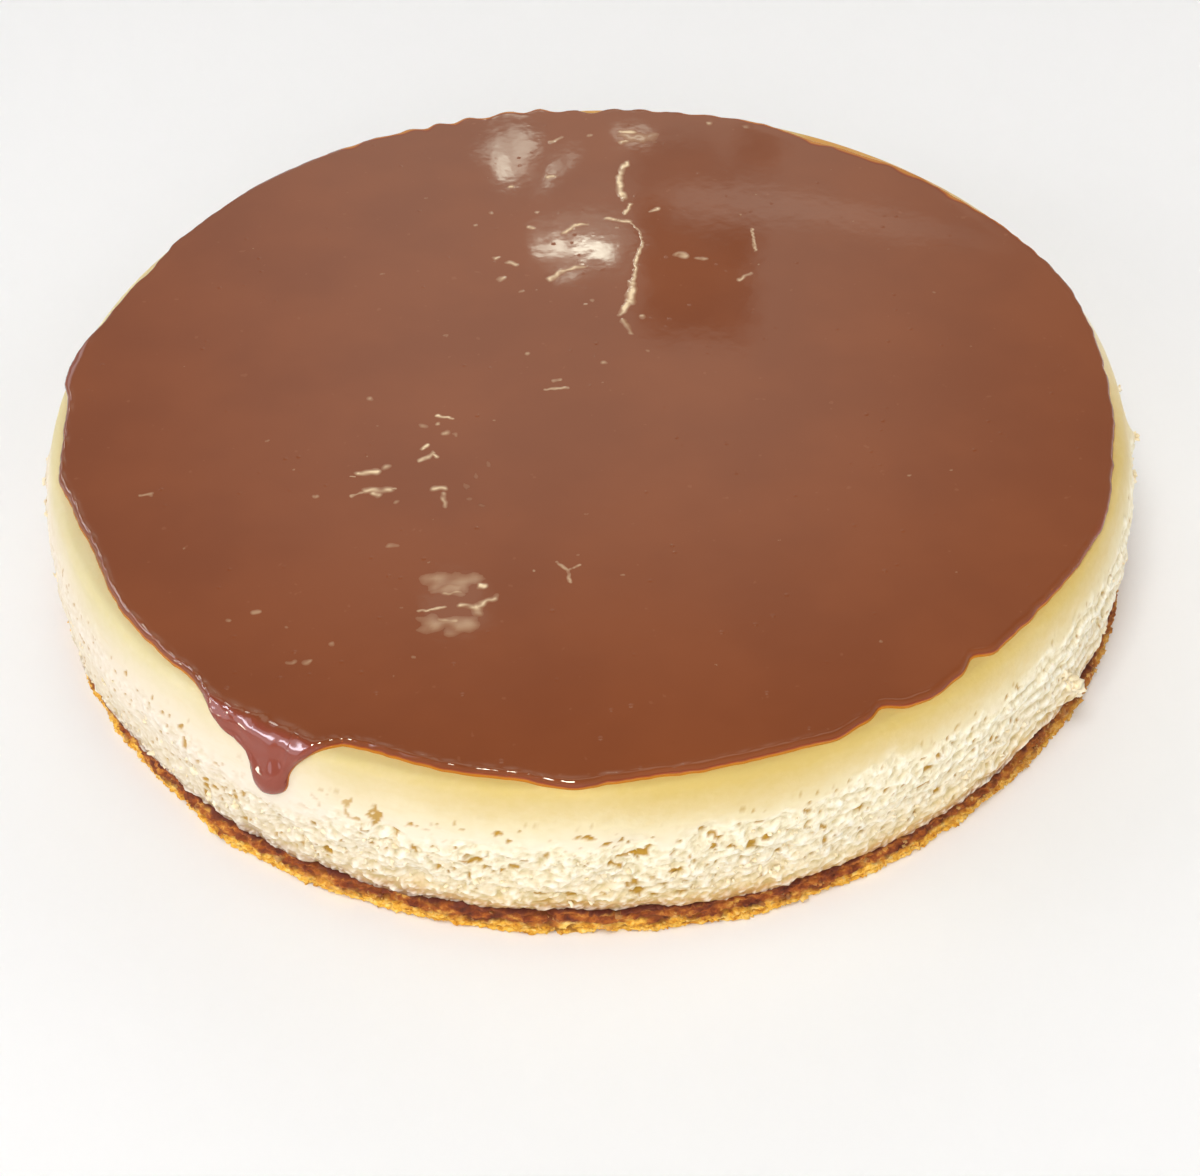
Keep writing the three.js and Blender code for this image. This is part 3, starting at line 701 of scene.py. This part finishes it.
def glint_patch(start, end, half, strength):
    """A ragged stroke: a small sheet that sinks just under the glaze at its border, with how pale its painted
    glint is.
    """
    along = np.subtract(end, start)
    length = float(np.hypot(*along))
    ux, uy = along / length if length > 0.01 else (1.0, 0.0)
    reach = MARK_BORDER * half
    count = max(MARK_LEAST, int((length + 2 * reach) / (MARK_STEP * half)) + 1)
    lengthwise = np.linspace(-reach, length + reach, count)[:, None]
    across = np.linspace(-reach, reach, MARK_ACROSS)[None, :]
    x = start[0] + lengthwise * ux - across * uy
    y = start[1] + lengthwise * uy + across * ux
    bend = 1.3 * half * bump(across, 1.6 * half)
    shift_x, shift_y = (bend * flat_noise(x, y, min(2.6 * half, 3), seed) for seed in (115, 117))
    past_end = np.maximum(np.maximum(-lengthwise, lengthwise - length), 0)
    gap = np.hypot(past_end + shift_x, across + shift_y) * (1 + 0.7 * flat_noise(x, y, 2.2, 118))
    broken = np.clip(1 + 1.6 * flat_noise(x, y, max(2.4, 1.3 * half), 116), 0, 1.4)
    core = 0 if half >= SOFT_REFLECTION_HALF else MARK_CORE
    shape = (core * bump(gap, 0.5 * half) + (1 - core) * bump(gap, half)) * broken
    rise = MARK_RISE * strength * min(half, MARK_RISE_HALF) * shape
    points = np.stack([x, y, GLAZE_LEVEL + top_relief(x, y) - MARK_SINK + rise], -1)
    pale = np.clip(MARK_GAIN * strength * shape, 0, 1)
    return points.reshape(-1, 3), sheet(count, MARK_ACROSS)[1], pale.ravel()


def make_glaze_glints():
    strokes = []
    for *flat, half, strength in PAINTED_GLINTS:
        line = list(zip(flat[::2], flat[1::2]))
        strokes += [(a, b, half, strength) for a, b in zip(line, line[1:] or line)]
    rng = np.random.default_rng(3)
    for _ in range(PIMPLES):
        r, a = PIMPLE_REACH * math.sqrt(rng.uniform()), rng.uniform(0, 2 * math.pi)
        spot = (r * math.cos(a), r * math.sin(a))
        strokes.append((spot, spot, rng.uniform(*PIMPLE_HALVES), rng.uniform(*PIMPLE_STRENGTHS)))
    points, faces, pale, total = [], [], [], 0
    for stroke in strokes:
        more, quads, shade = glint_patch(*stroke)
        points.append(more)
        faces.append(quads + total)
        pale.append(shade)
        total += len(more)
    values = {"pale": np.concatenate(pale)}
    return new_mesh("glaze_glints", np.concatenate(points), np.concatenate(faces).tolist(), values)


def past_flat(s, start, end):
    """From 0 to 1 between two lengths past the flat top."""
    return ease(s, FLAT_RADIUS + start, FLAT_RADIUS + end)


def glaze_height(s, azimuth, edge_distance):
    """Thickness of the glaze over the filling: a thin round lip, a shoulder up to the top, a domed drip."""
    on_blob = bump(np.hypot(sideways(DRIP_AT, azimuth), (s - BLOB_MIDDLE - 0.4) * 0.85), 4.0)
    on_side = past_flat(s, 1, 6)
    lip = LIP_HEIGHT + (SIDE_LIP - LIP_HEIGHT) * on_side
    width = LIP_WIDTH + 0.6 * on_side + 1.8 * on_blob
    full = GLAZE_THICKNESS + (DRIP_HEIGHT - GLAZE_THICKNESS) * on_side + (BLOB_HEIGHT - DRIP_HEIGHT) * on_blob
    round_part = np.sqrt(1 - (1 - np.clip(edge_distance / width, 0, 1)) ** 2)
    shoulder = 1 - np.exp(-((edge_distance / SHOULDER_WIDTH) ** 1.5))
    on_edge = lip + (full - lip) * on_blob
    return round_part * (on_edge + (full - on_edge) * shoulder)


def distance_to_edge(azimuth, s):
    """How far a point of the glaze is from its edge, measured over the filling's surface."""
    line = DRIP_AT + np.linspace(*OUTLINE_BORDERS, OUTLINE_POINTS)
    line_s, line_along = glaze_edge(line), np.radians(line - DRIP_AT) * FILLING_RADIUS
    near = np.abs(turn(DRIP_AT, azimuth)) < NEAR_DRIP
    out = glaze_edge(azimuth) - s
    along = sideways(DRIP_AT, azimuth[near])
    gap = np.full(along.shape, 1e9)
    for start in range(0, len(line), OUTLINE_BATCH):
        part = slice(start, start + OUTLINE_BATCH)
        reach = np.hypot(along[:, None] - line_along[None, part], s[near][:, None] - line_s[None, part])
        gap = np.minimum(gap, reach.min(1))
    out[near] = np.minimum(gap, np.maximum(out[near], 0))
    return out


def glaze_ripples(s, azimuth, gap, x, y, z):
    """Ridges of the part that hangs, a crease across the drip's top and beads along the edge."""
    above_blob = 1 - ease(s, length_at_height(33), length_at_height(30))
    ridges = 1.2 * grain(x, y, z * 0.6, 4.5, 111) * past_flat(s, 0, 4)
    ridges = ridges * ease(gap, 0.3, 2.5) * above_blob
    crease = bump(s - FLAT_RADIUS - 0.9 - 0.9 * flat_noise(x, y, 6, 112), 0.55) * ease(gap, 0.3, 1.5)
    broken = np.clip(0.6 + 1.6 * flat_noise(x, y, 3.5, 113), 0, 1.2) * nearby(azimuth, CREASE_AT)
    beads = np.abs(flat_noise(x, y, 2.6, 114)) * bump(gap - 0.8, 0.7)
    return ridges + crease * broken + (BEADS_EVERYWHERE + nearby(azimuth, BEADS_AT)) * beads


def glaze_top():
    """The disc over the flat top: its points, its quads, and the points of its border with their azimuths."""
    grid = np.linspace(-1, 1, GLAZE_CELLS + 1)
    a, b = np.meshgrid(grid, grid, indexing="ij")
    wide = np.abs(a) >= np.abs(b)
    ring = np.where(wide, a, b)
    safe = np.where(ring == 0, 1, ring)
    angle = np.where(wide, 45 * b / safe, 90 - 45 * a / safe) + np.where(ring < 0, 180, 0)
    azimuth = glaze_columns(angle % 360)
    x, y = around(azimuth, np.abs(ring) * GLAZE_INSIDE)
    points = np.stack([x, y, GLAZE_LEVEL + top_relief(x, y)], -1).reshape(-1, 3)
    number, quads = sheet(GLAZE_CELLS + 1, GLAZE_CELLS + 1)
    border = np.concatenate([number[-1, :-1], number[:0:-1, -1], number[0, :0:-1], number[:-1, 0]])
    border = border[np.argsort(azimuth.ravel()[border])]
    return points, quads.tolist(), border, azimuth.ravel()[border]


def make_glaze():
    inner, faces, border, columns = glaze_top()
    edge = glaze_edge(columns)
    share = 1 - (1 - np.linspace(0, 1, GLAZE_ROWS + 1)[1:]) ** EDGE_CROWDING
    s = GLAZE_INSIDE + (edge[None, :] - GLAZE_INSIDE) * share[:, None]
    angles = np.broadcast_to(columns[None, :], s.shape)
    gap = distance_to_edge(angles.ravel(), s.ravel()).reshape(s.shape)
    gap[-1] = 0
    base_r, base_z, normal_r, normal_z = on_meridian(s)
    x, y = around(angles, base_r)
    relief = np.maximum(side_relief(angles, base_z), 0) * past_flat(s, 0, 4)
    uneven = top_relief(x, y) * ease(gap, 0.3, 5) * (1 - past_flat(s, 0, 3))
    lift = glaze_height(s, angles, gap) + relief + uneven + glaze_ripples(s, angles, gap, x, y, base_z)
    outer = placed(angles, base_r + normal_r * lift, base_z + normal_z * lift)
    under = []
    for t in UNDER_ROWS:
        under_r, under_z, out_r, out_z = on_meridian(GLAZE_INSIDE + (edge - GLAZE_INSIDE) * t)
        under.append(placed(columns, under_r + out_r * GLAZE_SUNK, under_z + out_z * GLAZE_SUNK))

    count, first = len(columns), len(inner)
    total_rows = GLAZE_ROWS + len(under)
    points = np.concatenate([inner, outer.reshape(-1, 3), *under, [[0, 0, FILLING_TOP + GLAZE_SUNK]]])
    here, after = np.arange(count), (np.arange(count) + 1) % count
    faces += np.stack([border[here], first + here, first + after, border[after]], -1).tolist()
    faces += [list(reversed(q)) for q in ring_faces(total_rows, count, first)]
    faces += cap_faces(first + (total_rows - 1) * count, count, len(points) - 1, up=False)

    outside = slice(first, first + GLAZE_ROWS * count)
    thin, hang = np.zeros(len(points)), np.zeros(len(points))
    glow = nearby(angles, GLOW_AT) * np.clip(1 + 0.9 * flat_noise(x, y, 6, 119), 0.7, 1.4)
    thin[outside] = (1 - ease(gap, 0.05 + 1.2 * glow, 0.38 + 2.4 * glow)).ravel()
    thin[outside.stop:-1] = 1
    hang[outside] = past_flat(s, 0.3, 1.6).ravel()
    return new_mesh("glaze_chocolate", points, faces, {"thin": thin, "hang": hang})


# Materials

def rgb(hex_code):
    """Linear colour of an sRGB hex code."""
    parts = [int(hex_code[i:i + 2], 16) / 255 for i in (0, 2, 4)]
    return tuple(c / 12.92 if c <= 0.04045 else ((c + 0.055) / 1.055) ** 2.4 for c in parts) + (1.0,)


class Nodes:
    """A node tree, with short names for what the materials and the world use."""

    def __init__(self, tree, coordinates):
        self.tree = tree
        self.place = self.new("ShaderNodeTexCoord").outputs[coordinates]

    def new(self, kind, *inputs, **settings):
        """A node with these settings, and with its first inputs filled in order."""
        node = self.tree.nodes.new(kind)
        for key, value in settings.items():
            setattr(node, key, value)
        for socket, value in zip(node.inputs, inputs):
            self.fill(socket, value)
        return node

    def fill(self, socket, value):
        """Link a socket or set its value. Text is the sRGB hex code of a colour."""
        if isinstance(value, bpy.types.NodeSocket):
            self.tree.links.new(value, socket)
        else:
            socket.default_value = rgb(value) if isinstance(value, str) else value

    def set(self, node, **values):
        """Fill inputs by their names, with _ for a space."""
        for key, value in values.items():
            self.fill(node.inputs[key.replace("_", " ")], value)

    def math(self, operation, a, b=0.0, clamp=False):
        return self.new("ShaderNodeMath", a, b, operation=operation, use_clamp=clamp).outputs[0]

    def times(self, a, b, clamp=False):
        return self.math("MULTIPLY", a, b, clamp)

    def plus(self, a, b):
        return self.math("ADD", a, b)

    def minus(self, a, b):
        return self.math("SUBTRACT", a, b)

    def spread(self, *numbers):
        """A value's smooth step between two numbers, from 0 to 1 or between two more."""
        return self.new("ShaderNodeMapRange", *numbers, interpolation_type="SMOOTHSTEP").outputs["Result"]

    def mix(self, amount, a, b):
        node = self.new("ShaderNodeMix", data_type="RGBA")
        self.set(node, Factor=amount, A=a, B=b)
        return node.outputs["Result"]

    def axes(self):
        return self.new("ShaderNodeSeparateXYZ", self.place).outputs


class Paint(Nodes):
    """The node tree of a new material."""

    def __init__(self, name):
        self.material = bpy.data.materials.new(name)
        self.material.use_nodes = True
        super().__init__(self.material.node_tree, "Object")
        self.shader = self.tree.nodes["Principled BSDF"]

    def noise(self, size_mm, detail=2.0, roughness=0.5, stretch=(1, 1, 1)):
        mapping = self.new("ShaderNodeMapping", self.place)
        self.set(mapping, Scale=stretch)
        node = self.new("ShaderNodeTexNoise", mapping.outputs["Vector"])
        self.set(node, Scale=1 / (size_mm * MM), Detail=detail, Roughness=roughness)
        return node.outputs["Fac"]

    def wander(self, depth_mm, *noise, **shape):
        """Noise about 0 as a length, for borders that wander by up to half the depth."""
        return self.times(self.minus(self.noise(*noise, **shape), 0.5), depth_mm * MM)

    def cells(self, size_mm):
        node = self.new("ShaderNodeTexVoronoi", self.place)
        self.set(node, Scale=1 / (size_mm * MM))
        return node.outputs["Distance"]

    def number(self, name):
        return self.new("ShaderNodeAttribute", attribute_name=name).outputs["Fac"]

    def ramp(self, value, stops):
        node = self.new("ShaderNodeValToRGB", value)
        elements = node.color_ramp.elements
        while len(elements) < len(stops):
            elements.new(0.5)
        for element, (place, code) in zip(elements, stops):
            element.position = place
            element.color = rgb(code)
        return node.outputs["Color"]

    def bumps(self, height, strength, distance_mm):
        node = self.new("ShaderNodeBump")
        self.set(node, Strength=strength, Distance=distance_mm * MM, Height=height)
        self.surface(Normal=node.outputs["Normal"])

    def surface(self, **values):
        self.set(self.shader, **values)


# The filling's colours from its foot to its top, as a share of its height: of the smooth skin at the right,
# of the torn part, and at the left, where the top band is paler and the duller, mauve-grey foot is painted
# shade.
SKIN_BANDS = (
    (0.0, "8A4A1C"), (0.3, "EEE1C6"), (0.5, "F0E6D2"), (0.64, "ECE0C6"), (0.76, "E3D5AE"), (0.865, "D8C38C"),
    (1.0, "CEB46A"),
)
TORN_BANDS = (
    (0.0, "7E4218"), (0.02, "B07A38"), (0.06, "CC9E5E"), (0.11, "DCBE86"), (0.18, "E6D3AA"),
    (0.28, "EEE0C2"), (0.5, "F0E6CA"), (1.0, "F1E8CC"),
)
LEFT_BANDS = (
    (0.0, "7A4A30"), (0.025, "9A7C64"), (0.06, "BAA48E"), (0.1, "CFBFA6"), (0.17, "DACCB5"), (0.3, "E0D3BC"),
    (0.6, "E6DACA"), (0.76, "E3D6C0"), (0.88, "DDD0B0"), (1.0, "D5C898"),
)
# Painted shade for the holes and hollows, a painted highlight for the crests, and flecks of the filling's own
# colour.
HOLE_SHADE_COLOUR, HOLLOW_SHADE_COLOUR, CREST_HIGHLIGHT, FLECK_COLOUR = "B08200", "C2AC72", "FFFCF2", "BC9C4C"
PALE_STRIP, TOASTED_BACK, STREAK_COLOUR = "F2EAD4", "CC8A34", "DCC088"
CURD_LIGHT, CURD_DARK, CURD_SPOTS = "FBEFD4", "F4E2BC", "D0AE6C"

# The crust's colours, in patches from dark to light: golden below and browned above, painted shade at the
# right.
GOLDEN = ((0.3, "9A5410"), (0.41, "D6942C"), (0.53, "F0BA46"), (0.67, "FADA8A"))
BROWNED = ((0.32, "4A1A0E"), (0.45, "7A3618"), (0.57, "A85C20"), (0.7, "D8A44C"))
RIGHT_SIDE_SHADE, CRUMB_COLOUR, CRUST_GAP_SHADE, GROOVE_SHADE_AND_BROWNING = "8E5216", "F6D486", "80461A", "5A2416"

# The glaze's colours: clouded on top, redder where it hangs, pale in the painted glints and amber where it is
# thin.
CLOUD_COLOURS, SPECK_COLOUR, HANG_COLOUR, GLINT_COLOUR = ("7E4020", "864624"), "A0684A", "8A4232", "F2D8B0"
THIN_EDGE = ((0.0, "7A3416"), (0.45, "7E320C"), (0.78, "9C460E"), (1.0, "BC761E"))


def filling_material():
    m = Paint("baked_filling")
    x, y, z = m.axes()
    torn = m.number("torn")
    height = m.plus(m.plus(z, m.wander(5, 22, 1)), m.wander(3, 2.4, 3, stretch=(1, 1, 1.6)))
    share = m.math("DIVIDE", m.minus(height, CRUST_TOP * MM), (FILLING_TOP - CRUST_TOP) * MM, clamp=True)
    skin, open_part, left = (m.ramp(share, bands) for bands in (SKIN_BANDS, TORN_BANDS, LEFT_BANDS))
    right = m.mix(m.spread(torn, 0.15, 0.6), skin, open_part)
    # At the left, the duller mauve-grey foot is painted shade with a painted reflected tint.
    band = m.mix(m.spread(x, -0.01, -0.09), right, left)
    far_right = m.times(m.spread(x, 0.09, 0.12), m.spread(y, -0.035, 0.015))
    band = m.mix(m.times(far_right, 0.6), band, PALE_STRIP)
    toasted = m.times(m.spread(y, 0.03, 0.11, 0.0, 0.8), m.spread(share, 0.95, 1.0), clamp=True)
    band = m.mix(toasted, band, TOASTED_BACK)
    # Painted shade in the hollows of the relief.
    shaded = m.mix(m.times(m.number("crease"), 0.7), band, HOLLOW_SHADE_COLOUR)
    # Painted highlight on the crests of the relief.
    shaded = m.mix(m.times(m.number("lit_crest"), 0.75), shaded, CREST_HIGHLIGHT)
    # Painted shade in the holes of the side.
    hole_shaded = m.mix(m.times(m.number("hole_shade"), 0.97, clamp=True), shaded, HOLE_SHADE_COLOUR)
    dots = m.times(m.spread(m.noise(1.3, 2), 0.6, 0.72), torn)
    flecked = m.mix(m.times(dots, 0.35), hole_shaded, FLECK_COLOUR)
    streak = m.spread(m.noise(7, 2, stretch=(1, 1, 6)), 0.55, 0.75)
    final = m.mix(m.times(streak, 0.12), flecked, STREAK_COLOUR)
    m.surface(Base_Color=final, Roughness=m.spread(torn, 0, 1, 0.6, 0.68))
    m.surface(Subsurface_Weight=0.12, Subsurface_Scale=0.0015, Subsurface_Radius=(1.0, 0.75, 0.5))
    rough = m.plus(m.noise(0.8, 3), m.cells(1.2))
    m.bumps(m.times(rough, m.spread(torn, 0, 1, 0.12, 1.0)), 0.6, 0.5)
    return m.material


def curd_material():
    m = Paint("filling_curd")
    spots = m.times(m.spread(m.noise(1.2, 2), 0.55, 0.75), 0.4)
    m.surface(Base_Color=m.mix(spots, m.mix(m.number("tint"), CURD_LIGHT, CURD_DARK), CURD_SPOTS))
    m.surface(Roughness=0.6)
    m.surface(Subsurface_Weight=0.12, Subsurface_Scale=0.0015, Subsurface_Radius=(1.0, 0.75, 0.45))
    m.bumps(m.noise(0.6, 2), 0.4, 0.3)
    return m.material


def crust_material(name, crumb):
    m = Paint(name)
    x, _, z = m.axes()
    wave = m.wander(6, 5, 3)
    golden = m.ramp(m.noise(1.9, 3, 0.65, (1, 1, 2)), GOLDEN)
    browned = m.ramp(m.noise(3.4, 3, 0.6, (1, 1, 2.2)), BROWNED)
    body = m.mix(m.spread(m.plus(z, wave), 1.9 * MM, 3.8 * MM), golden, browned)
    # Painted shade on the right side.
    body = m.mix(m.spread(x, 0.05, 0.115, 0.0, 0.5), body, RIGHT_SIDE_SHADE)
    if crumb:
        body = m.mix(m.times(m.number("tint"), 0.4), body, CRUMB_COLOUR)
    else:
        # Painted shade in the gaps between the crumbs.
        body = m.mix(m.times(m.spread(m.number("crease"), 0.45, 1), 0.75), body, CRUST_GAP_SHADE)
    # Painted shade and browning in the groove under the filling.
    groove = m.spread(m.plus(z, m.times(wave, 0.15)), 5.5 * MM, 6.3 * MM)
    m.surface(Base_Color=m.mix(groove, body, GROOVE_SHADE_AND_BROWNING), Roughness=0.8)
    m.surface(Subsurface_Weight=0.15, Subsurface_Scale=0.0015, Subsurface_Radius=(1.0, 0.6, 0.3))
    m.bumps(m.noise(0.5, 3), 0.5, 0.3)
    return m.material


def glaze_material():
    m = Paint("chocolate_glaze")
    cloud = m.mix(m.spread(m.noise(34, 3), 0.3, 0.7), *CLOUD_COLOURS)
    speckled = m.mix(m.times(m.spread(m.noise(2.2, 1), 0.74, 0.8), 0.2), cloud, SPECK_COLOUR)
    sheet_colour = m.mix(m.number("hang"), speckled, HANG_COLOUR)
    # Painted glints and painted reflections.
    glinted = m.mix(m.number("pale"), sheet_colour, GLINT_COLOUR)
    thin = m.number("thin")
    m.surface(Base_Color=m.mix(m.spread(thin, 0.05, 0.5), glinted, m.ramp(thin, THIN_EDGE)))
    m.surface(Roughness=0.035, IOR=1.46)
    dotted = m.times(m.spread(m.cells(4.2), 0.16, 0.02), m.spread(m.noise(9, 1), 0.52, 0.66))
    m.bumps(m.plus(m.times(dotted, 0.5), m.times(m.noise(4.5, 2), 0.1)), 0.35, 0.25)
    return m.material


def floor_material():
    m = Paint("floor_pale")
    m.surface(Base_Color=m.mix(m.noise(220, 2), "F1F2F5", "F4F5F7"), Roughness=0.75)
    return m.material


# Camera, light and floor

IMAGE_WIDTH, FOCAL_PIXELS, SENSOR = 1200, 2019.65, 36.0
CAMERA_PLACE = (0.0, -0.37113, 0.33586)
CAMERA_YAW, CAMERA_PITCH, CAMERA_ROLL = 0.2407, -44.32, -2.215
FLOOR_HALF = 8.0

# Softboxes: name, azimuth, elevation, distance, width and height in metres, radiance and colour. The level
# scales them all.
WARM, COOL, LIGHT_LEVEL = (1.0, 0.985, 0.96), (0.97, 0.97, 1.0), 0.72
LIGHTS = (
    ("key", 246, 66, 1.45, (0.5, 0.5), 15, WARM),
    ("front_fill", 268, 18, 1.5, (1.6, 1.0), 2.4, WARM),
    ("left_fill", 187, 20, 1.5, (0.5, 0.5), 6.0, COOL),
    ("right_fill", 5, 25, 1.5, (1.2, 0.9), 1.7, WARM),
    ("back_fill", 90, 20, 1.6, (1.6, 1.0), 1.6, WARM),
)


def make_camera():
    """The view: yaw to the right, pitch up and roll, in degrees."""
    data = bpy.data.cameras.new("camera")
    data.sensor_fit = "HORIZONTAL"
    data.sensor_width = SENSOR
    data.lens = FOCAL_PIXELS * SENSOR / IMAGE_WIDTH
    data.clip_start = 0.01
    turn_up = Matrix.Rotation(math.radians(90 + CAMERA_PITCH), 4, "X")
    turn_side = Matrix.Rotation(math.radians(-CAMERA_YAW), 4, "Z")
    tilt = Matrix.Rotation(math.radians(CAMERA_ROLL), 4, "Z")
    camera = put("camera", data)
    camera.matrix_world = Matrix.Translation(CAMERA_PLACE) @ turn_side @ turn_up @ tilt
    bpy.context.scene.camera = camera


def area_light(name, azimuth, elevation, distance, size, radiance, colour):
    """A rectangular softbox that faces the cake. Its radiance doesn't change with its size. The glaze
    mirrors the room of make_world instead."""
    data = bpy.data.lights.new(name, "AREA")
    data.shape = "RECTANGLE"
    data.size, data.size_y = size
    data.energy = radiance * math.pi * size[0] * size[1]
    data.color = colour
    light = put(name, data)
    a, e = math.radians(azimuth), math.radians(elevation)
    outward = Vector((math.cos(a) * math.cos(e), math.sin(a) * math.cos(e), math.sin(e)))
    light.location = outward * distance
    light.rotation_euler = outward.to_track_quat("Z", "Y").to_euler()
    light.visible_glossy = False


def make_lights():
    for *pose, radiance, colour in LIGHTS:
        area_light(*pose, radiance * LIGHT_LEVEL, colour)


# The room that the glaze mirrors, in degrees to the right of straight back and degrees up. Lamps: centre,
# half-width, half-height, slope and brightness.
ROOM_LAMPS = (
    (-2.1, 32.05, 0.8, 0.7, 0, 2.7), (-2.55, 32.35, 0.32, 0.34, 0, 3.8), (-2.25, 32.65, 0.36, 0.14, 0, 3.6),
    (-1.7, 31.9, 0.3, 0.4, 0, 1.2), (-0.7, 32.65, 0.8, 0.12, -0.7, 2.2), (-0.95, 32.82, 0.3, 0.1, -0.7, 3.0),
    (1.85, 31.72, 0.6, 0.22, 0, 2.6), (-0.6, 34.66, 1.0, 0.09, 0.03, 9.5),
    (0.35, 34.62, 0.85, 0.2, 0.08, 10.0), (0.6, 34.82, 0.45, 0.16, 0.1, 8.0),
    (-0.5, 35.42, 0.62, 0.08, -0.27, 6.5), (0.1, 34.5, 1.7, 0.8, 0, 0.8), (-103, 4, 5, 3.5, 0, 22.0),
    (-5.5, 44.5, 1.3, 0.9, 0, 0.6), (-162, 64, 16, 10, 0, 60.0), (-34, 43, 6, 8, 0, 8.0),
    (-6, 61, 40, 9, 0, 1.4),
)
# Windows: left and right borders, lower and upper borders, and brightness.
ROOM_WINDOWS = (
    (-55, -25, 20, 50, 1.6), (-90, -56, 27, 34, 22.0), (-132, -98, 4, 44, 2.6), (-126, -104, 26, 32, 22.0),
)
# Shades: left and right borders, lower and upper borders, and depth.
ROOM_SHADES = (
    (2.1, 5.9, 34.1, 37.3, 0.56), (4.8, 6.0, 34.0, 35.2, 0.2), (2.4, 4.7, 34.9, 37.2, 0.12),
    (1.9, 3.0, 33.2, 34.3, 0.5), (1.8, 4.6, 31.9, 33.2, 0.35), (4.5, 5.4, 32.6, 33.2, 0.4),
    (5.2, 6.6, 31.5, 32.8, 0.45),
)
# A pale streak: centre, half-width, half-height, slope and brightness.
ROOM_STREAK = (7.6, 33.74, 5, 0.3, 0.078, 0.55)
LAMP_EDGE, STREAK_EDGE, WINDOW_EDGE, SHADE_EDGE = 0.25, 0.8, 2.5, 0.5
LAMP_TINT, WINDOW_TINT, STUDIO_TINT = (0.96, 1.0, 0.82, 1), (0.88, 0.88, 1.0, 1), (1.0, 0.97, 0.92, 1)
ROOM_LEFT_TINT, ROOM_RIGHT_TINT = (0.82, 0.88, 0.86, 1), (1.04, 0.97, 0.82, 1)
RAGGED_SCALE, RAGGED_DETAIL, RAGGED_RIGHT, RAGGED_UP = 130, 4, 1.8, 0.6


def make_world():
    """A plain dim studio, bright low down at the back. The glaze mirrors a room with lamps and windows."""
    world = bpy.data.worlds.new("studio")
    world.use_nodes = True
    w = Nodes(world.node_tree, "Generated")
    x, y, z = w.axes()
    plain_up = w.times(w.math("ARCSINE", z), math.degrees(1))
    plain_right = w.times(w.math("ARCTAN2", x, y), math.degrees(1))
    ragged = w.new("ShaderNodeTexNoise", w.place)
    w.set(ragged, Scale=RAGGED_SCALE, Detail=RAGGED_DETAIL)
    shift = w.minus(ragged.outputs["Fac"], 0.5)
    right = w.plus(plain_right, w.times(shift, RAGGED_RIGHT))
    up = w.plus(plain_up, w.times(shift, RAGGED_UP))

    def ellipse(across, along, centre, height, wide, tall, slope, edge):
        aside = w.minus(across, centre)
        above = w.math("DIVIDE", w.minus(w.minus(along, height), w.times(aside, slope)), tall)
        aside = w.math("DIVIDE", aside, wide)
        distance = w.math("SQRT", w.plus(w.times(aside, aside), w.times(above, above)))
        return w.spread(distance, 1 + edge, 1 - edge)

    def between(value, low, high, edge):
        return w.times(w.spread(value, low - edge, low + edge), w.spread(value, high + edge, high - edge))

    def box(left_side, right_side, low, high, edge):
        return w.times(between(right, left_side, right_side, edge), between(up, low, high, edge))

    def glow(strength, tint):
        return w.new("ShaderNodeBackground", tint, strength).outputs[0]

    def added(first, second):
        return w.new("ShaderNodeAddShader", first, second).outputs[0]

    # The studio is dimmer higher up, with a bright wall that is low and straight back.
    behind = w.spread(w.math("ABSOLUTE", plain_right), 20, 4, 0.25, 1.0)
    low_sky = w.times(w.spread(plain_up, 51, 39), w.spread(plain_up, -2, 6))
    wall = w.times(w.times(behind, low_sky), 0.9)
    dim = w.spread(plain_up, -5, 60, 0.42, 0.24)

    # The mirrored room: the same with shades and a streak, and then lamps and windows with ragged borders.
    mirrored = w.plus(dim, w.times(wall, w.spread(plain_up, 24, 40, 0.72, 1.0)))
    for *opening, depth in ROOM_SHADES:
        mirrored = w.times(mirrored, w.minus(1.0, w.times(box(*opening, SHADE_EDGE), depth)))
    *streak, bright = ROOM_STREAK
    mirrored = w.plus(mirrored, w.times(ellipse(plain_right, plain_up, *streak, STREAK_EDGE), bright))
    lamps, windows = 0.0, 0.0
    for *spot, bright in ROOM_LAMPS:
        lamps = w.plus(lamps, w.times(ellipse(right, up, *spot, LAMP_EDGE), bright))
    for *opening, bright in ROOM_WINDOWS:
        windows = w.plus(windows, w.times(box(*opening, WINDOW_EDGE), bright))
    tint = w.mix(w.spread(plain_right, -28, 4), ROOM_LEFT_TINT, ROOM_RIGHT_TINT)
    room = added(glow(mirrored, tint), added(glow(lamps, LAMP_TINT), glow(windows, WINDOW_TINT)))
    studio = glow(w.plus(dim, wall), STUDIO_TINT)
    mirror = w.new("ShaderNodeLightPath").outputs["Is Glossy Ray"]
    choice = w.new("ShaderNodeMixShader", mirror, studio, room).outputs[0]
    w.set(w.tree.nodes["World Output"], Surface=choice)
    bpy.context.scene.world = world


def make_floor():
    mesh = bpy.data.meshes.new("floor")
    corner_points = [(a * FLOOR_HALF, b * FLOOR_HALF, 0) for a, b in ((-1, -1), (1, -1), (1, 1), (-1, 1))]
    mesh.from_pydata(corner_points, [], [(0, 1, 2, 3)])
    floor = put("floor", mesh)
    floor.data.materials.append(floor_material())


def add_piece(piece, material, node=None):
    piece.data.materials.append(material)
    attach(piece, BODY)
    if node:
        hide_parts(node)


make_camera()
make_world()
make_lights()
make_floor()
bpy.context.scene.view_settings.view_transform = "Standard"

add_piece(make_crust(), crust_material("biscuit_crust", crumb=False), "crust")
add_piece(make_crust_crumbs(), crust_material("biscuit_crumb", crumb=True))
add_piece(make_filling(), filling_material(), "filling")
add_piece(make_filling_curds(), curd_material())
chocolate = glaze_material()
add_piece(make_glaze(), chocolate, "glaze")
add_piece(make_glaze_glints(), chocolate)
